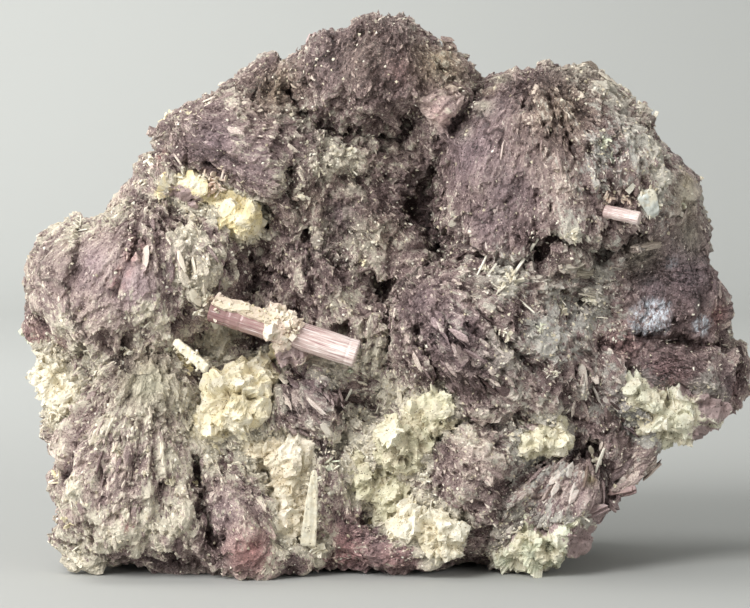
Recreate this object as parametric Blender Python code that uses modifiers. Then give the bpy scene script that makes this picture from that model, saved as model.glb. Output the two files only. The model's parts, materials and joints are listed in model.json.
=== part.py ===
"""Raw lepidolite: a hand-sized lump of lilac mica, crusted with albite, with a pink tourmaline prism across its face.

The lump stands on its broken underside with its best face towards -Y. Lengths in the tables are millimetres:
x across the face, y into the lump (negative is towards the viewer) and z up from the table.
"""

import math
import random

import bmesh
import bpy
import numpy as np
from mathutils import Euler, Matrix, Vector

MM = 0.001

# Driving dimensions
GAP = 0.4 * MM  # seam left all round a crystal that sits in the lump
SHARPEST_CORNER = 3.0  # most that the seam may widen at a corner
MASS_GRAIN = 1.3 * MM  # grid on which the lobes of the lump are fused
CRUST_GRAIN = 0.8 * MM  # grid on which the lumps of one crust are fused
GROOVE_RADIUS = 7 * MM  # grooves between lobes that are narrower than this ball are filled
LOBE_FACES = 24000
MASS_FACES = 5600
CRUST_FACES = 150
LOBE_SPHERES = 4  # subdivisions of the ball that a lobe starts as
RIB_SPHERES = 2
PRISM_LENGTH = 35.0 * MM
PRISM_RADIUS = 2.9 * MM
PRISM_SIDES = 18
PRISM_BOW = 0.07  # how far the three sides bow out, as a share of the radius
PRISM_GROOVE = 0.06  # depth of the grooves along the prism, as a share of the radius
BLADE_BEVEL = 0.6  # bevel of a blade's ends, as a share of its half-thickness
STUB_LENGTH = 8.5 * MM
STUB_RADIUS = 2.1 * MM
BLOCK_SIZE = 300 * MM  # block that cuts away all beyond a broken face or under the table
RIB_SEED = 11
RIB_RISE = 1.4  # mm by which the ribs stand out of a lobe. The tables give sizes over the ribs
RIB_SIZES = ((4.0, 7.5), (1.3, 2.1), (1.6, 3.2))  # half-length, half-width and half-height in mm
FRONT_RIB_STEP = 5.6  # spacing in mm of the mica ribs on the lobes of the face
BACK_RIB_STEP = 8.0
RIB_LIMIT = 0.95  # no rib starts nearer than this to the rim of a lobe, as a share of its radius squared
RIB_JITTER = (0.1, 0.9)  # where in its cell of the grid a rib starts

# The rounded lobes of the face: name, centre, radii, lean in degrees (anticlockwise on the face),
# and the pole, in radii from the centre, from which the mica ribs of the lobe fan out
FRONT_LOBES = (
    ("top_dome", (0.7, -6, 108.5), (20.5, 18, 13.8), 0, (0.0, 1.4)),
    ("top_dome_right", (13, -4, 104), (9, 15, 8.9), -30, (-0.8, 1.2)),
    ("top_tongue", (13.5, -11, 100), (8, 13, 4.5), 20, (-1.2, 1.0)),
    ("top_shoulder", (-23.6, -1, 105), (9, 13, 8.2), 20, (0.0, 1.3)),
    ("upper_left_ridge", (-37, -5, 94), (16, 17, 10.3), 26, (-0.7, 1.2)),
    ("upper_left_slope", (-25, -5, 88.5), (16, 18, 12.3), -35, (-1.0, 0.8)),
    ("upper_left_end", (-48, 0, 89.5), (5.5, 12, 8.9), 15, (0.0, 1.2)),
    ("upper_left_foot", (-36, -4, 81), (13, 14, 6.9), -10, (-0.5, 1.2)),
    ("left_dome", (-57, -10, 63.5), (20.5, 18, 17.2), 8, (-0.1, 1.5)),
    ("left_dome_brow", (-62, -6, 71.5), (15, 16, 9.8), 28, (-0.1, 1.3)),
    ("left_dome_inner", (-40, -9, 66.5), (11.5, 15, 12.8), 0, (-0.6, 1.3)),
    ("left_rim", (-72.5, -1, 55.5), (8, 14, 13.8), 6, (0.2, 1.4)),
    ("left_rim_low", (-72, 0, 44.5), (6.5, 13, 8.9), -10, (0.2, 1.4)),
    ("lower_left_block", (-56, -11, 22), (18, 19, 19.7), 0, (0.1, 1.6)),
    ("lower_left_side", (-67, -5, 27.5), (8.5, 15, 16.7), 0, (0.3, 1.5)),
    ("lower_left_toe", (-63, -4, 8.5), (10.5, 18, 10.3), 0, (0.2, 1.6)),
    ("lower_left_inner", (-45, -11, 12), (9, 17, 13.3), 0, (0.0, 1.6)),
    ("middle_ridge", (4.5, -8, 29), (8.5, 13, 15), -40, (-0.5, 1.3)),
    ("lower_right_ridge", (34.5, -7, 31), (7, 13, 7.5), 0, (-0.5, 1.3)),
    ("quartz_shoulder", (-52, -12, 39), (12.5, 15, 8.4), -8, (0.0, 1.4)),
    ("foot_dome", (-31, -16, 10.5), (10.5, 14, 12.3), 0, (-0.4, 1.3)),
    ("foot_dome_right", (-22, -13, 5), (9, 13, 7.4), 0, (-0.6, 1.2)),
    ("upper_centre", (-7, 1, 83.5), (14, 15, 11.8), 0, (-0.4, 1.3)),
    ("upper_centre_top", (-12, -2, 91.5), (9, 14, 6.4), 0, (-0.3, 1.2)),
    ("upper_centre_low", (0, -3, 73.5), (7.5, 13, 7.4), 0, (-0.4, 1.3)),
    ("upper_centre_left", (-18, -3, 77.5), (7.5, 13, 6.4), 0, (-0.5, 1.2)),
    ("centre_knob", (-15, -3, 62), (11.5, 14, 9.8), 0, (-0.4, 1.3)),
    ("centre_knob_right", (-7, -6, 52.5), (9, 13, 8.4), 0, (-0.6, 1.3)),
    ("lower_centre", (-15, -9, 38), (10, 13, 11.3), 0, (-0.8, 1.0)),
    ("lower_centre_left", (-29, -8, 32.5), (11, 13, 11.8), 0, (-0.3, 1.3)),
    ("lower_centre_foot", (-14, -9, 20), (10, 13, 11.8), 0, (-0.1, 1.5)),
    ("right_dome", (40, -8, 88.5), (27.5, 21, 22.2), -18, (-0.5, 1.1)),
    ("right_dome_flank", (25, -9, 86.5), (13, 18, 20.7), -12, (-0.2, 1.2)),
    ("right_dome_low", (35, -10, 74.5), (19, 18, 12.3), -6, (-0.4, 1.6)),
    ("right_dome_side", (56.5, -4, 81), (13, 17, 13.8), -40, (-0.9, 1.0)),
    ("centre_fan", (19, -12, 52.5), (19, 17.5, 17.2), -12, (-0.9, 0.8)),
    ("centre_fan_left", (8, -9, 49.5), (9.5, 15, 11.8), 0, (-0.4, 1.3)),
    ("centre_fan_wing", (33, -11, 44.5), (13, 14, 13.8), -35, (-1.2, 0.6)),
    ("lower_right_dome", (20, -14, 23), (13.5, 14, 10.8), 0, (-0.8, 1.1)),
    ("foot_middle", (4, -10, 7), (17, 15, 8.1), 0, (-1.0, 0.5)),
    ("foot_middle_right", (13, -13, 10.5), (9, 12, 8.9), 0, (-0.6, 1.2)),
    ("right_foot_edge", (40, -9, 16), (15, 15, 8.8), 34, (-1.0, 0.9)),
    ("right_foot_corner", (31, -9, 8), (10.5, 14, 8.7), 10, (-0.9, 0.9)),
    ("right_slope", (54, -6, 31.5), (13, 14, 9), 38, (-1.0, 0.9)),
    ("right_hollow_floor", (46, -5, 43), (13, 14, 14.8), 0, (-0.7, 1.0)),
    ("right_hollow_top", (48, -4, 60), (13, 14, 9.8), 0, (-0.7, 1.0)),
    ("right_book", (65, -2, 65.5), (11.5, 15, 16.3), 5, (-0.4, 1.4)),
    ("right_book_low", (58, -5, 55.5), (11, 13, 7.9), -20, (-1.0, 0.6)),
    ("right_nub", (66.3, 0, 82.5), (4, 9, 9), 0, (0.0, 1.4)),
    ("right_ball", (53.7, -18, 73.5), (6.5, 8, 4.5), 0, (0.0, 1.4)),
    ("right_lower_book", (65, -4, 42.5), (12.5, 15, 10), 20, (-0.9, 0.8)),
    ("right_edge", (76.5, 1, 43), (5.5, 11, 9.8), 0, (-0.5, 1.2)),
)
BACK_LOBES = (
    ("core_left", (-53, 3, 45), (22, 15, 26), 0, (0.0, 1.4)),
    ("core_lower_right", (36, 0, 28), (13, 14, 14), 0, (0.0, 1.4)),
    ("core_upper_left", (-24, 6, 92), (19, 15, 17), 20, (0.0, 1.4)),
    ("core", (-2, 8, 57.5), (64, 21, 45.3), 0, (0.2, 1.3)),
    ("core_foot", (-8, 6, 18), (58, 19, 21.7), 0, (0.0, 1.5)),
    ("back_top", (4, 12, 96.5), (26, 18, 18.7), 0, (0.3, 1.2)),
    ("back_left", (-44, 14, 63.5), (26, 18, 22.7), 0, (0.7, 1.0)),
    ("back_right", (46, 14, 75.5), (25, 19, 23.6), -10, (-0.4, 1.2)),
    ("back_middle", (2, 17, 57.5), (34, 18, 29.6), 0, (0.9, 0.9)),
    ("back_foot_left", (-38, 12, 20), (27, 20, 23.6), 0, (0.2, 1.4)),
    ("back_foot_right", (22, 13, 20), (30, 19, 23.6), 0, (-0.5, 1.2)),
    ("back_edge_right", (58, 10, 45.5), (17, 16, 19.7), 0, (-0.8, 0.8)),
)

# Clefts and pockets between the lobes: name, centre, radii, lean
HOLLOWS = (
    ("main_cleft", (10.5, -18, 78.5), (3.6, 17, 11.8), 8),
    ("cleft_foot", (4, -16, 63.5), (4.5, 11, 3), 35),
    ("rimmed_hole", (-0.5, -15, 62), (3.2, 12, 2.8), 0),
    ("pocket_under_ridge", (-26, -20, 63.5), (4, 10, 4.1), 0),
    ("pocket_beside_ridge", (-25, -18, 78), (3, 9, 3.5), 0),
    ("pocket_under_dome", (47.5, -26, 69), (6.5, 11, 2.8), -5),
    ("pocket_behind_stub", (50, -28, 80), (5, 6, 4.1), -20),
    ("cleft_low_left", (-38.5, -28, 14), (2.2, 10, 9.8), -6),
    ("cleft_low_right", (49.5, -25, 22), (3, 9, 6.4), 20),
    ("black_pocket", (53.7, -19, 30), (4.6, 7, 3.3), 0),
    ("cleft_low_centre", (-7.5, -23, 29), (2.6, 8, 6.9), -15),
    ("shade_of_prism", (-35.5, -25, 51.5), (4.5, 8, 4.9), -30),
    ("under_foot", (27, -28, 0.5), (13, 10, 4.3), 4),
    ("under_top_dome", (3, -24, 96), (11, 7, 2.2), 4),
    ("beside_tongue", (-6, -20, 96.5), (6, 7, 2.2), -10),
    ("notch_at_top", (22.3, -4, 109.5), (2, 16, 3.9), -14),
)

# Broken faces: name, a point on the face, the direction it faces
FRACTURES = (
    ("back_break", (0, 31, 60), (0.04, 1, -0.08)),
    ("back_upper_break", (20, 27, 100), (0.25, 0.9, 0.45)),
    ("back_lower_left_break", (-50, 25, 24), (-0.55, 0.9, -0.15)),
    ("back_right_break", (68, 20, 55), (0.75, 0.8, -0.2)),
)

# Swells and crumbs all over the lump: name, texture, size and height
SWELLS = (
    ("swells", "CLOUDS", 14 * MM, 2.4 * MM),
    ("crumbs", "CLOUDS", 4 * MM, 1.0 * MM),
)
CRUST_CHIPS = ("VORONOI", 3.0 * MM, 1.6 * MM)

# Hackles of the broken side: name, texture, size and height. They start this far behind the middle, in mm
BACK_STARTS = 4
BACK_FADE = 14
BACK_HACKLES = (
    ("back_steps", "VORONOI", 13 * MM, 9 * MM),
    ("back_lumps", "CLOUDS", 9 * MM, 6 * MM),
)

# Albite crusts: the lumps that make each, as place on the face (x, z), radii, lean,
# and how far the lump stands out of the lobes
CRUSTS = {
    "albite_centre": (
        ((-31.5, 38), (7.2, 6, 6.4), 25, 4.5),
        ((-36, 32.5), (5.2, 4.5, 5.6), 0, 2.6),
        ((-27.5, 43), (5, 4, 4), 40, 2.6),
    ),
    "albite_middle": (
        ((11, 35), (5.4, 5, 5.2), 0, 2.4),
        ((4, 28.5), (5.6, 5, 6), 20, 2.8),
        ((-3.5, 22), (4.8, 4.5, 5), 10, 2.4),
        ((2.5, 16), (5.6, 4, 5), 0, 2.2),
    ),
    "albite_foot": (
        ((12, 9.5), (5.5, 4.5, 5), 0, 2.2),
        ((6.5, 11), (5, 4, 4.6), 0, 2.0),
    ),
    "albite_left_edge": (
        ((-72.5, 43), (4.8, 6.5, 6), 0, 2.2),
        ((-68, 38), (4, 5, 4.5), 0, 2.0),
    ),
    "albite_upper_left": (
        ((-31.5, 78), (5.6, 5, 4.3), -20, 2.8),
        ((-41, 82.5), (4.8, 4.5, 3.2), -20, 2.2),
    ),
    "albite_right": (
        ((57, 37.5), (6.2, 5, 4.4), -25, 2.4),
        ((62, 33.5), (7, 5, 4.8), 20, 2.4),
        ((67, 38), (5, 4.5, 4.4), 40, 2.2),
    ),
    "albite_right_foot": (
        ((33, 7), (8.2, 7, 5.6), 10, 2.0),
        ((39, 9.5), (5, 6, 4.3), 30, 1.8),
    ),
    "albite_lower_right": (
        ((35.5, 31), (4.6, 4.5, 3.8), 30, 2.6),
        ((31.5, 28.5), (3.4, 3.5, 3), 0, 2.2),
    ),
    "albite_low_centre": (
        ((-26, 26.5), (6.6, 4.5, 4.2), -10, 2.2),
        ((-20, 22.5), (4.8, 5, 6.0), -20, 2.2),
        ((-19.5, 12.5), (4.0, 5, 8.0), 6, 2.2),
    ),
    "albite_collar": (
        ((-21.5, 54), (3.2, 5.2, 3.4), 0, None),
        ((-20, 50), (2.2, 4.2, 2.6), 0, None),
    ),
}

COLLAR_SETBACK = 1.0  # mm by which the lumps of the collar lie behind the axis of the prism

# Single crystals: centre, long axis, half-length, half-width, half-thickness
PRISM_CENTRE = (-22.2, -23.0, 53.4)
PRISM_AXIS = (0.951, -0.075, -0.30)
STUB_CENTRE = (50.5, -26.8, 78.0)
STUB_AXIS = (0.93, -0.3, -0.2)
BLADES = {
    "albite_blade_low": ((-15.2, -24.6, 15.5), (0.09, -0.12, 1.0), (8.4, 1.9, 0.9)),
    "albite_blade_left": ((-40.5, -26.6, 48.5), (0.74, -0.25, -0.62), (4.8, 1.2, 0.7)),
    "quartz_tablet": ((56.5, -24.5, 80.5), (-0.4, -0.1, 0.9), (3.0, 2.3, 1.4)),
}

LEPIDOLITE = (0.30, 0.22, 0.27)
ALBITE = (0.78, 0.74, 0.60)
TOURMALINE = (0.70, 0.42, 0.46)
QUARTZ = (0.72, 0.74, 0.70)


def clear_scene():
    for obj in list(bpy.data.objects):
        bpy.data.objects.remove(obj)


def collection(name):
    made = bpy.data.collections.new(name)
    bpy.context.scene.collection.children.link(made)
    return made


def material(name, colour, roughness):
    made = bpy.data.materials.new(name)
    made.use_nodes = True
    shader = made.node_tree.nodes["Principled BSDF"]
    shader.inputs["Base Color"].default_value = (*colour, 1)
    shader.inputs["Roughness"].default_value = roughness
    shader.inputs["Metallic"].default_value = 0
    return made


def moved_to(collection_, obj):
    for old in list(obj.users_collection):
        old.objects.unlink(obj)
    collection_.objects.link(obj)


def ellipsoid(mesh, centre, radii, lean):
    """Adds one rounded lump to a bmesh."""
    turn = Euler((0, math.radians(-lean), 0)).to_matrix().to_4x4()
    stretch = Matrix.Diagonal((*(r * MM for r in radii), 1))
    place = Matrix.Translation(Vector(centre) * MM) @ turn @ stretch
    bmesh.ops.create_icosphere(mesh, subdivisions=LOBE_SPHERES, radius=1, matrix=place)


def inner(radii):
    """Radii of a lobe under its ribs."""
    return tuple(radius - RIB_RISE for radius in radii)


def rib_frames(lobe, side, step, dice):
    """Places, turns and sizes of the ribs on one lobe. Each runs away from the lobe's pole."""
    centre, radii, lean, pole = lobe
    radii = inner(radii)
    turn = Euler((0, math.radians(-lean), 0)).to_matrix()
    start = Vector((pole[0] * radii[0], 0, pole[1] * radii[2]))
    rows = max(2, round(2 * radii[2] / step))
    columns = max(2, round(2 * radii[0] / step))
    for cell in range(rows * columns):
        row, column = divmod(cell, columns)
        u = (column + dice.uniform(*RIB_JITTER)) / columns * 2 - 1
        w = (row + dice.uniform(*RIB_JITTER)) / rows * 2 - 1
        if u * u + w * w > RIB_LIMIT:
            continue
        v = side * math.sqrt(1 - u * u - w * w)
        place = Vector((u * radii[0], v * radii[1], w * radii[2]))
        normal = Vector((u / radii[0], v / radii[1], w / radii[2])).normalized()
        away = place - start
        away -= normal * away.dot(normal)
        away.normalize()
        frame = Matrix((away, normal.cross(away), normal)).transposed()
        size = Vector(dice.uniform(*RIB_SIZES[axis]) for axis in range(3))
        stretch = Matrix.Diagonal((*(size * MM), 1))
        where = (Vector(centre) + turn @ place) * MM
        yield Matrix.Translation(where) @ (turn @ frame).to_4x4() @ stretch


def ribs_mesh():
    """The ribs of every lobe, on the face and on the back."""
    dice = random.Random(RIB_SEED)
    frames = []
    for _, centre, radii, lean, pole in FRONT_LOBES:
        frames += rib_frames((centre, radii, lean, pole), -1, FRONT_RIB_STEP, dice)
    for _, centre, radii, lean, pole in BACK_LOBES:
        frames += rib_frames((centre, radii, lean, pole), 1, BACK_RIB_STEP, dice)
    return copies(unit_ball(RIB_SPHERES), frames)


def ribbed_lobes(name):
    """The fused lobes with the grooves between them filled, and with their ribs laid on, still overlapping."""
    lobes = lumps_object("bare_lobes", [(c, inner(radii), lean) for _, c, radii, lean, _ in FRONT_LOBES + BACK_LOBES])
    fuse(lobes, MASS_GRAIN)
    fill_grooves(lobes, GROOVE_RADIUS)
    lobes = settled(lobes, name)
    mesh = bmesh.new()
    mesh.from_mesh(lobes.data)
    mesh.from_mesh(ribs_mesh())
    mesh.to_mesh(lobes.data)
    mesh.free()
    return lobes


def unit_ball(subdivisions):
    shape = bmesh.new()
    bmesh.ops.create_icosphere(shape, subdivisions=subdivisions, radius=1)
    ball = bpy.data.meshes.new("ball")
    shape.to_mesh(ball)
    shape.free()
    return ball


def copies(template, frames):
    """A mesh that holds one copy of the template for each frame."""
    points = np.array([(*vertex.co, 1) for vertex in template.vertices])
    faces = np.array([tuple(polygon.vertices) for polygon in template.polygons])
    places = np.concatenate([points @ np.array(frame).T for frame in frames])[:, :3]
    rings = np.concatenate([faces + i * len(points) for i in range(len(frames))])
    made = bpy.data.meshes.new("copies")
    made.from_pydata(places.tolist(), [], rings.tolist())
    return made


def lumps_object(name, lumps):
    """One object that holds overlapping lumps, which a Remesh modifier then fuses."""
    mesh = bmesh.new()
    for centre, radii, lean in lumps:
        ellipsoid(mesh, centre, radii, lean)
    return object_from(mesh, name)


def fuse(obj, grain):
    remesh = obj.modifiers.new("fuse", "REMESH")
    remesh.mode = "VOXEL"
    remesh.voxel_size = grain


def fill_grooves(obj, radius):
    """Fills every groove that a ball of this radius can't enter, by growing the shape and shrinking it back."""
    for name, amount in (("grow", radius), ("shrink", -radius)):
        displace = obj.modifiers.new(name, "DISPLACE")
        displace.strength = amount
        displace.mid_level = 0
        fuse(obj, MASS_GRAIN)


def roughen(obj, name, kind, size, height):
    """Moves the surface in and out by a noise whose lumps are about size across."""
    texture = bpy.data.textures.new(name, kind)
    texture.noise_scale = size
    if kind == "CLOUDS":
        texture.noise_depth = 3
    displace = obj.modifiers.new(name, "DISPLACE")
    displace.texture = texture
    displace.texture_coords = "GLOBAL"
    displace.strength = height
    displace.mid_level = 0.5


def broken_back(obj):
    """Steps and hackles on the broken side of the lump, fading out towards its face."""
    group = obj.vertex_groups.new(name="back")
    for vertex in obj.data.vertices:
        weight = (vertex.co.y / MM - BACK_STARTS) / BACK_FADE
        if weight > 0:
            group.add([vertex.index], min(1, weight), "REPLACE")
    for name, kind, size, height in BACK_HACKLES:
        roughen(obj, name, kind, size, height)
        obj.modifiers[name].vertex_group = group.name


def thin_out(obj, faces):
    """Reduces the evaluated mesh to about this many triangles."""
    graph = bpy.context.evaluated_depsgraph_get()
    graph.update()
    evaluated = obj.evaluated_get(graph).to_mesh()
    evaluated.calc_loop_triangles()
    share = faces / len(evaluated.loop_triangles)
    decimate = obj.modifiers.new("thin_out", "DECIMATE")
    decimate.ratio = min(1, share)
    decimate.use_collapse_triangulate = True


def only_largest_body(data):
    """Deletes the crumbs that a cut leaves loose beside the main body."""
    shape = bmesh.new()
    shape.from_mesh(data)
    left = set(shape.verts)
    bodies = []
    while left:
        stack = [left.pop()]
        body = set(stack)
        while stack:
            for edge in stack.pop().link_edges:
                for vertex in edge.verts:
                    if vertex not in body:
                        body.add(vertex)
                        stack.append(vertex)
        left -= body
        bodies.append(body)
    bodies.sort(key=len, reverse=True)
    for body in bodies[1:]:
        bmesh.ops.delete(shape, geom=list(body), context="VERTS")
    shape.to_mesh(data)
    shape.free()


def settled(obj, name):
    """A new mesh object with all modifiers of obj applied. obj is removed."""
    graph = bpy.context.evaluated_depsgraph_get()
    graph.update()
    data = bpy.data.meshes.new_from_object(obj.evaluated_get(graph))
    data.transform(obj.matrix_world)
    only_largest_body(data)
    made = bpy.data.objects.new(name, data)
    bpy.context.scene.collection.objects.link(made)
    bpy.data.objects.remove(obj)
    data.name = name
    made.name = name
    return made


def cutter_box(name, point, facing):
    """A large block that lies outside a broken face."""
    direction = Vector(facing).normalized()
    bpy.ops.mesh.primitive_cube_add(size=BLOCK_SIZE)
    box = bpy.context.object
    box.name = name
    box.rotation_euler = direction.to_track_quat("Z", "Y").to_euler()
    box.location = Vector(point) * MM + direction * BLOCK_SIZE / 2
    box.hide_render = True
    box.display_type = "WIRE"
    return box


def cut(obj, cutter, solver="EXACT"):
    boolean = obj.modifiers.new("cut_" + cutter.name, "BOOLEAN")
    boolean.operation = "DIFFERENCE"
    boolean.solver = solver
    boolean.object = cutter


def swollen(obj, amount):
    """A helper the shape of obj, grown by amount all over, to cut the seat that obj sits in."""
    data = obj.data.copy()
    data.name = "seat_of_" + obj.name
    shape = bmesh.new()
    shape.from_mesh(data)
    shape.normal_update()
    for vertex in shape.verts:
        vertex.co += vertex.normal * amount * min(SHARPEST_CORNER, vertex.calc_shell_factor())
    shape.to_mesh(data)
    shape.free()
    made = bpy.data.objects.new("seat_of_" + obj.name, data)
    made.hide_render = True
    made.display_type = "WIRE"
    bpy.context.scene.collection.objects.link(made)
    return made


def upright_matrix(centre, axis):
    """Places a shape whose length runs along its own Z, with its flat side towards the viewer."""
    length = Vector(axis).normalized()
    outward = Vector((0, -1, 0))
    side = outward.cross(length).normalized()
    outward = length.cross(side)
    turn = Matrix((side, outward, length)).transposed().to_4x4()
    return Matrix.Translation(Vector(centre) * MM) @ turn


def striated_prism(name, centre, axis, length, radius):
    """A tourmaline prism: three bowed sides, each ribbed along its length, and a flat end."""
    shape = bmesh.new()
    bmesh.ops.create_cone(
        shape, cap_ends=True, segments=PRISM_SIDES, radius1=radius, radius2=radius, depth=length
    )
    for vertex in shape.verts:
        angle = math.atan2(vertex.co.y, vertex.co.x)
        bow = 1 + PRISM_BOW * math.cos(3 * angle)
        rib = 1 if round(angle / (math.tau / PRISM_SIDES)) % 2 else 1 - PRISM_GROOVE
        vertex.co.x *= bow * rib
        vertex.co.y *= bow * rib
    bmesh.ops.transform(shape, matrix=upright_matrix(centre, axis), verts=shape.verts)
    return object_from(shape, name)


def blade(name, centre, axis, half_sizes):
    """A flat crystal blade with bevelled ends."""
    half_length, half_width, half_thickness = (size * MM for size in half_sizes)
    shape = bmesh.new()
    bmesh.ops.create_cube(shape, size=2)
    bmesh.ops.scale(shape, vec=(half_width, half_thickness, half_length), verts=shape.verts)
    ends = [e for e in shape.edges if abs(sum(v.co.z for v in e.verts)) > half_length]
    bmesh.ops.bevel(shape, geom=ends, offset=half_thickness * BLADE_BEVEL, segments=1, affect="EDGES")
    bmesh.ops.transform(shape, matrix=upright_matrix(centre, axis), verts=shape.verts)
    return object_from(shape, name)


def object_from(shape, name):
    bmesh.ops.recalc_face_normals(shape, faces=shape.faces)
    data = bpy.data.meshes.new(name)
    shape.to_mesh(data)
    shape.free()
    obj = bpy.data.objects.new(name, data)
    bpy.context.scene.collection.objects.link(obj)
    return obj


def on_face(mass, place, radii, proud):
    """Centre of a lump that stands out by proud at this place (x, z) on the front of the lump."""
    x, z = place
    if proud is None:
        return (x, PRISM_CENTRE[1] + COLLAR_SETBACK, z)
    start = Vector((x, -BLOCK_SIZE / MM, z)) * MM
    hit, where, _, _ = mass.ray_cast(start, Vector((0, 1, 0)))
    front = where.y / MM if hit else 0
    return (x, front - proud + radii[1], z)


def crust(mass, name, lumps):
    placed = [(on_face(mass, place, radii, proud), radii, lean) for place, radii, lean, proud in lumps]
    rough = lumps_object(name + "_lumps", placed)
    fuse(rough, CRUST_GRAIN)
    roughen(rough, name + "_chips", *CRUST_CHIPS)
    thin_out(rough, CRUST_FACES)
    return settled(rough, name)


def lepidolite_mass():
    rough = ribbed_lobes("lobes")
    fuse(rough, MASS_GRAIN)
    thin_out(rough, LOBE_FACES)
    hollows = lumps_object("hollows", [hollow[1:] for hollow in HOLLOWS])
    fuse(hollows, MASS_GRAIN)
    hollows.hide_render = True
    hollows.display_type = "WIRE"
    cut(rough, hollows)
    for name, point, facing in FRACTURES:
        cut(rough, cutter_box(name, point, facing))
    rough = settled(rough, "broken_lobes")
    fuse(rough, MASS_GRAIN)
    rough = settled(rough, "fused_lobes")
    for swell in SWELLS:
        roughen(rough, *swell)
    broken_back(rough)
    thin_out(rough, MASS_FACES)
    return settled(rough, "lepidolite_mass")


def centre_on_base(parts):
    """Moves everything so that the origin is under the middle of the specimen, on the table."""
    graph = bpy.context.evaluated_depsgraph_get()
    graph.update()
    corners = []
    for part in parts:
        corners += [Vector(corner) for corner in part.evaluated_get(graph).bound_box]
    middle = [(min(c[i] for c in corners) + max(c[i] for c in corners)) / 2 for i in range(2)]
    shift = Vector((-middle[0], -middle[1], 0))
    for obj in bpy.context.scene.objects:
        obj.location += shift


def main():
    clear_scene()
    specimen = collection("raw_lepidolite")
    helpers = collection("helpers")

    lilac = material("lepidolite", LEPIDOLITE, 0.5)
    cream = material("albite", ALBITE, 0.7)
    pink = material("tourmaline", TOURMALINE, 0.25)
    clear = material("quartz", QUARTZ, 0.25)

    mass = lepidolite_mass()
    mass.data.materials.append(lilac)

    prism = striated_prism("tourmaline_prism", PRISM_CENTRE, PRISM_AXIS, PRISM_LENGTH, PRISM_RADIUS)
    stub = striated_prism("tourmaline_stub", STUB_CENTRE, STUB_AXIS, STUB_LENGTH, STUB_RADIUS)
    for crystal in (prism, stub):
        crystal.data.materials.append(pink)
    blades = [blade(name, *sizes) for name, sizes in BLADES.items()]
    for crystal in blades:
        crystal.data.materials.append(clear if crystal.name.startswith("quartz") else cream)
    crusts = [crust(mass, name, lumps) for name, lumps in CRUSTS.items()]
    for one in crusts:
        one.data.materials.clear()
        one.data.materials.append(cream)

    crystals = [prism, stub, *blades]
    seats = {part.name: swollen(part, GAP) for part in crystals + crusts}
    for place, one in enumerate(crusts):
        for neighbour in crystals + crusts[:place]:
            cut(one, seats[neighbour.name])
    table = cutter_box("table", (0, 0, 0), (0, 0, -1))
    cut(mass, table, "MANIFOLD")
    for seat in seats.values():
        cut(mass, seat)
    for one in crusts:
        cut(one, table)
    parts = [mass, *crystals, *crusts]
    centre_on_base(parts)
    names = [part.name for part in parts]
    for name in names:
        part = bpy.data.objects[name]
        part.name = name + "_uncut"
        settled(part, name)

    for obj in list(bpy.context.scene.collection.objects):
        moved_to(specimen if obj.name in names else helpers, obj)


main()
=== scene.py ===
"""Raw lepidolite: a lump of lilac mica crusted with albite, with two pink tourmalines, on a pale table.

The looks of the specimen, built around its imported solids. Lengths are in metres unless a name or comment
says mm. Places on its face are given in pixels of the photograph, 750 by 608, and found on the stone by
looking along them.
"""

import json
import math
import random

import bmesh
import bpy
import numpy as np
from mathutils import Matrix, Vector, noise
from mathutils.bvhtree import BVHTree

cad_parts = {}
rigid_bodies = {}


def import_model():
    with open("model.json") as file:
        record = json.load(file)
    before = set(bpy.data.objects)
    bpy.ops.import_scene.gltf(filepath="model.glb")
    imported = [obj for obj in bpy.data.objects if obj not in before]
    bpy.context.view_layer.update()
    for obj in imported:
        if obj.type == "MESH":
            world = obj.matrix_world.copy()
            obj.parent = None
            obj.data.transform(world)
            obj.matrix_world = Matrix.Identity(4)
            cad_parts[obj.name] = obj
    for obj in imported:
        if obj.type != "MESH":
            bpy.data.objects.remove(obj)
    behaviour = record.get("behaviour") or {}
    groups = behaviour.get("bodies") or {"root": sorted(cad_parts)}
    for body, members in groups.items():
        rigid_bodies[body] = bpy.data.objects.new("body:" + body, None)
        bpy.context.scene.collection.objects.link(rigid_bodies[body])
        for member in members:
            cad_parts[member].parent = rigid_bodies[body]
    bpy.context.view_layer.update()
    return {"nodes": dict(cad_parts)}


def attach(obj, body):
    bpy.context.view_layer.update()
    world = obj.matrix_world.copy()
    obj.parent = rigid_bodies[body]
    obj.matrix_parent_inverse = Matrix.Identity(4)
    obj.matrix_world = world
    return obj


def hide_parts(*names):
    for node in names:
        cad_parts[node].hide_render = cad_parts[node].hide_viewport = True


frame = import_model()
MM = 0.001

# The view. The photograph looks at the lump's best face from a little above level, through a long lens.
# A pixel of the picture is a line of sight from the eye, along which places on the stone are found.
PICTURE_WIDTH = 750
PICTURE_HEIGHT = 608
VIEW_TARGET = Vector((-0.0029, -0.0018, 0.0575))
VIEW_DISTANCE = 0.6
VIEW_RISE = math.radians(4)
FIELD_WIDTH = 0.1658
SENSOR_WIDTH = 36

to_eye = Vector((0, -math.cos(VIEW_RISE), math.sin(VIEW_RISE)))
view_right = Vector((1, 0, 0))
view_up = view_right.cross(-to_eye)
eye = VIEW_TARGET + to_eye * VIEW_DISTANCE
pixel_slope = FIELD_WIDTH / VIEW_DISTANCE / PICTURE_WIDTH

camera = bpy.data.objects.new("camera", bpy.data.cameras.new("camera"))
bpy.context.scene.collection.objects.link(camera)
camera.data.sensor_width = SENSOR_WIDTH
camera.data.lens = SENSOR_WIDTH * VIEW_DISTANCE / FIELD_WIDTH
camera.location = eye
camera.rotation_euler = to_eye.to_track_quat("Z", "Y").to_euler()
bpy.context.scene.camera = camera


def sight(across, down):
    """Direction in which a pixel of the photograph is seen."""
    right = (across - PICTURE_WIDTH / 2) * pixel_slope
    up = (PICTURE_HEIGHT / 2 - down) * pixel_slope
    return (view_right * right + view_up * up - to_eye).normalized()


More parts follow.
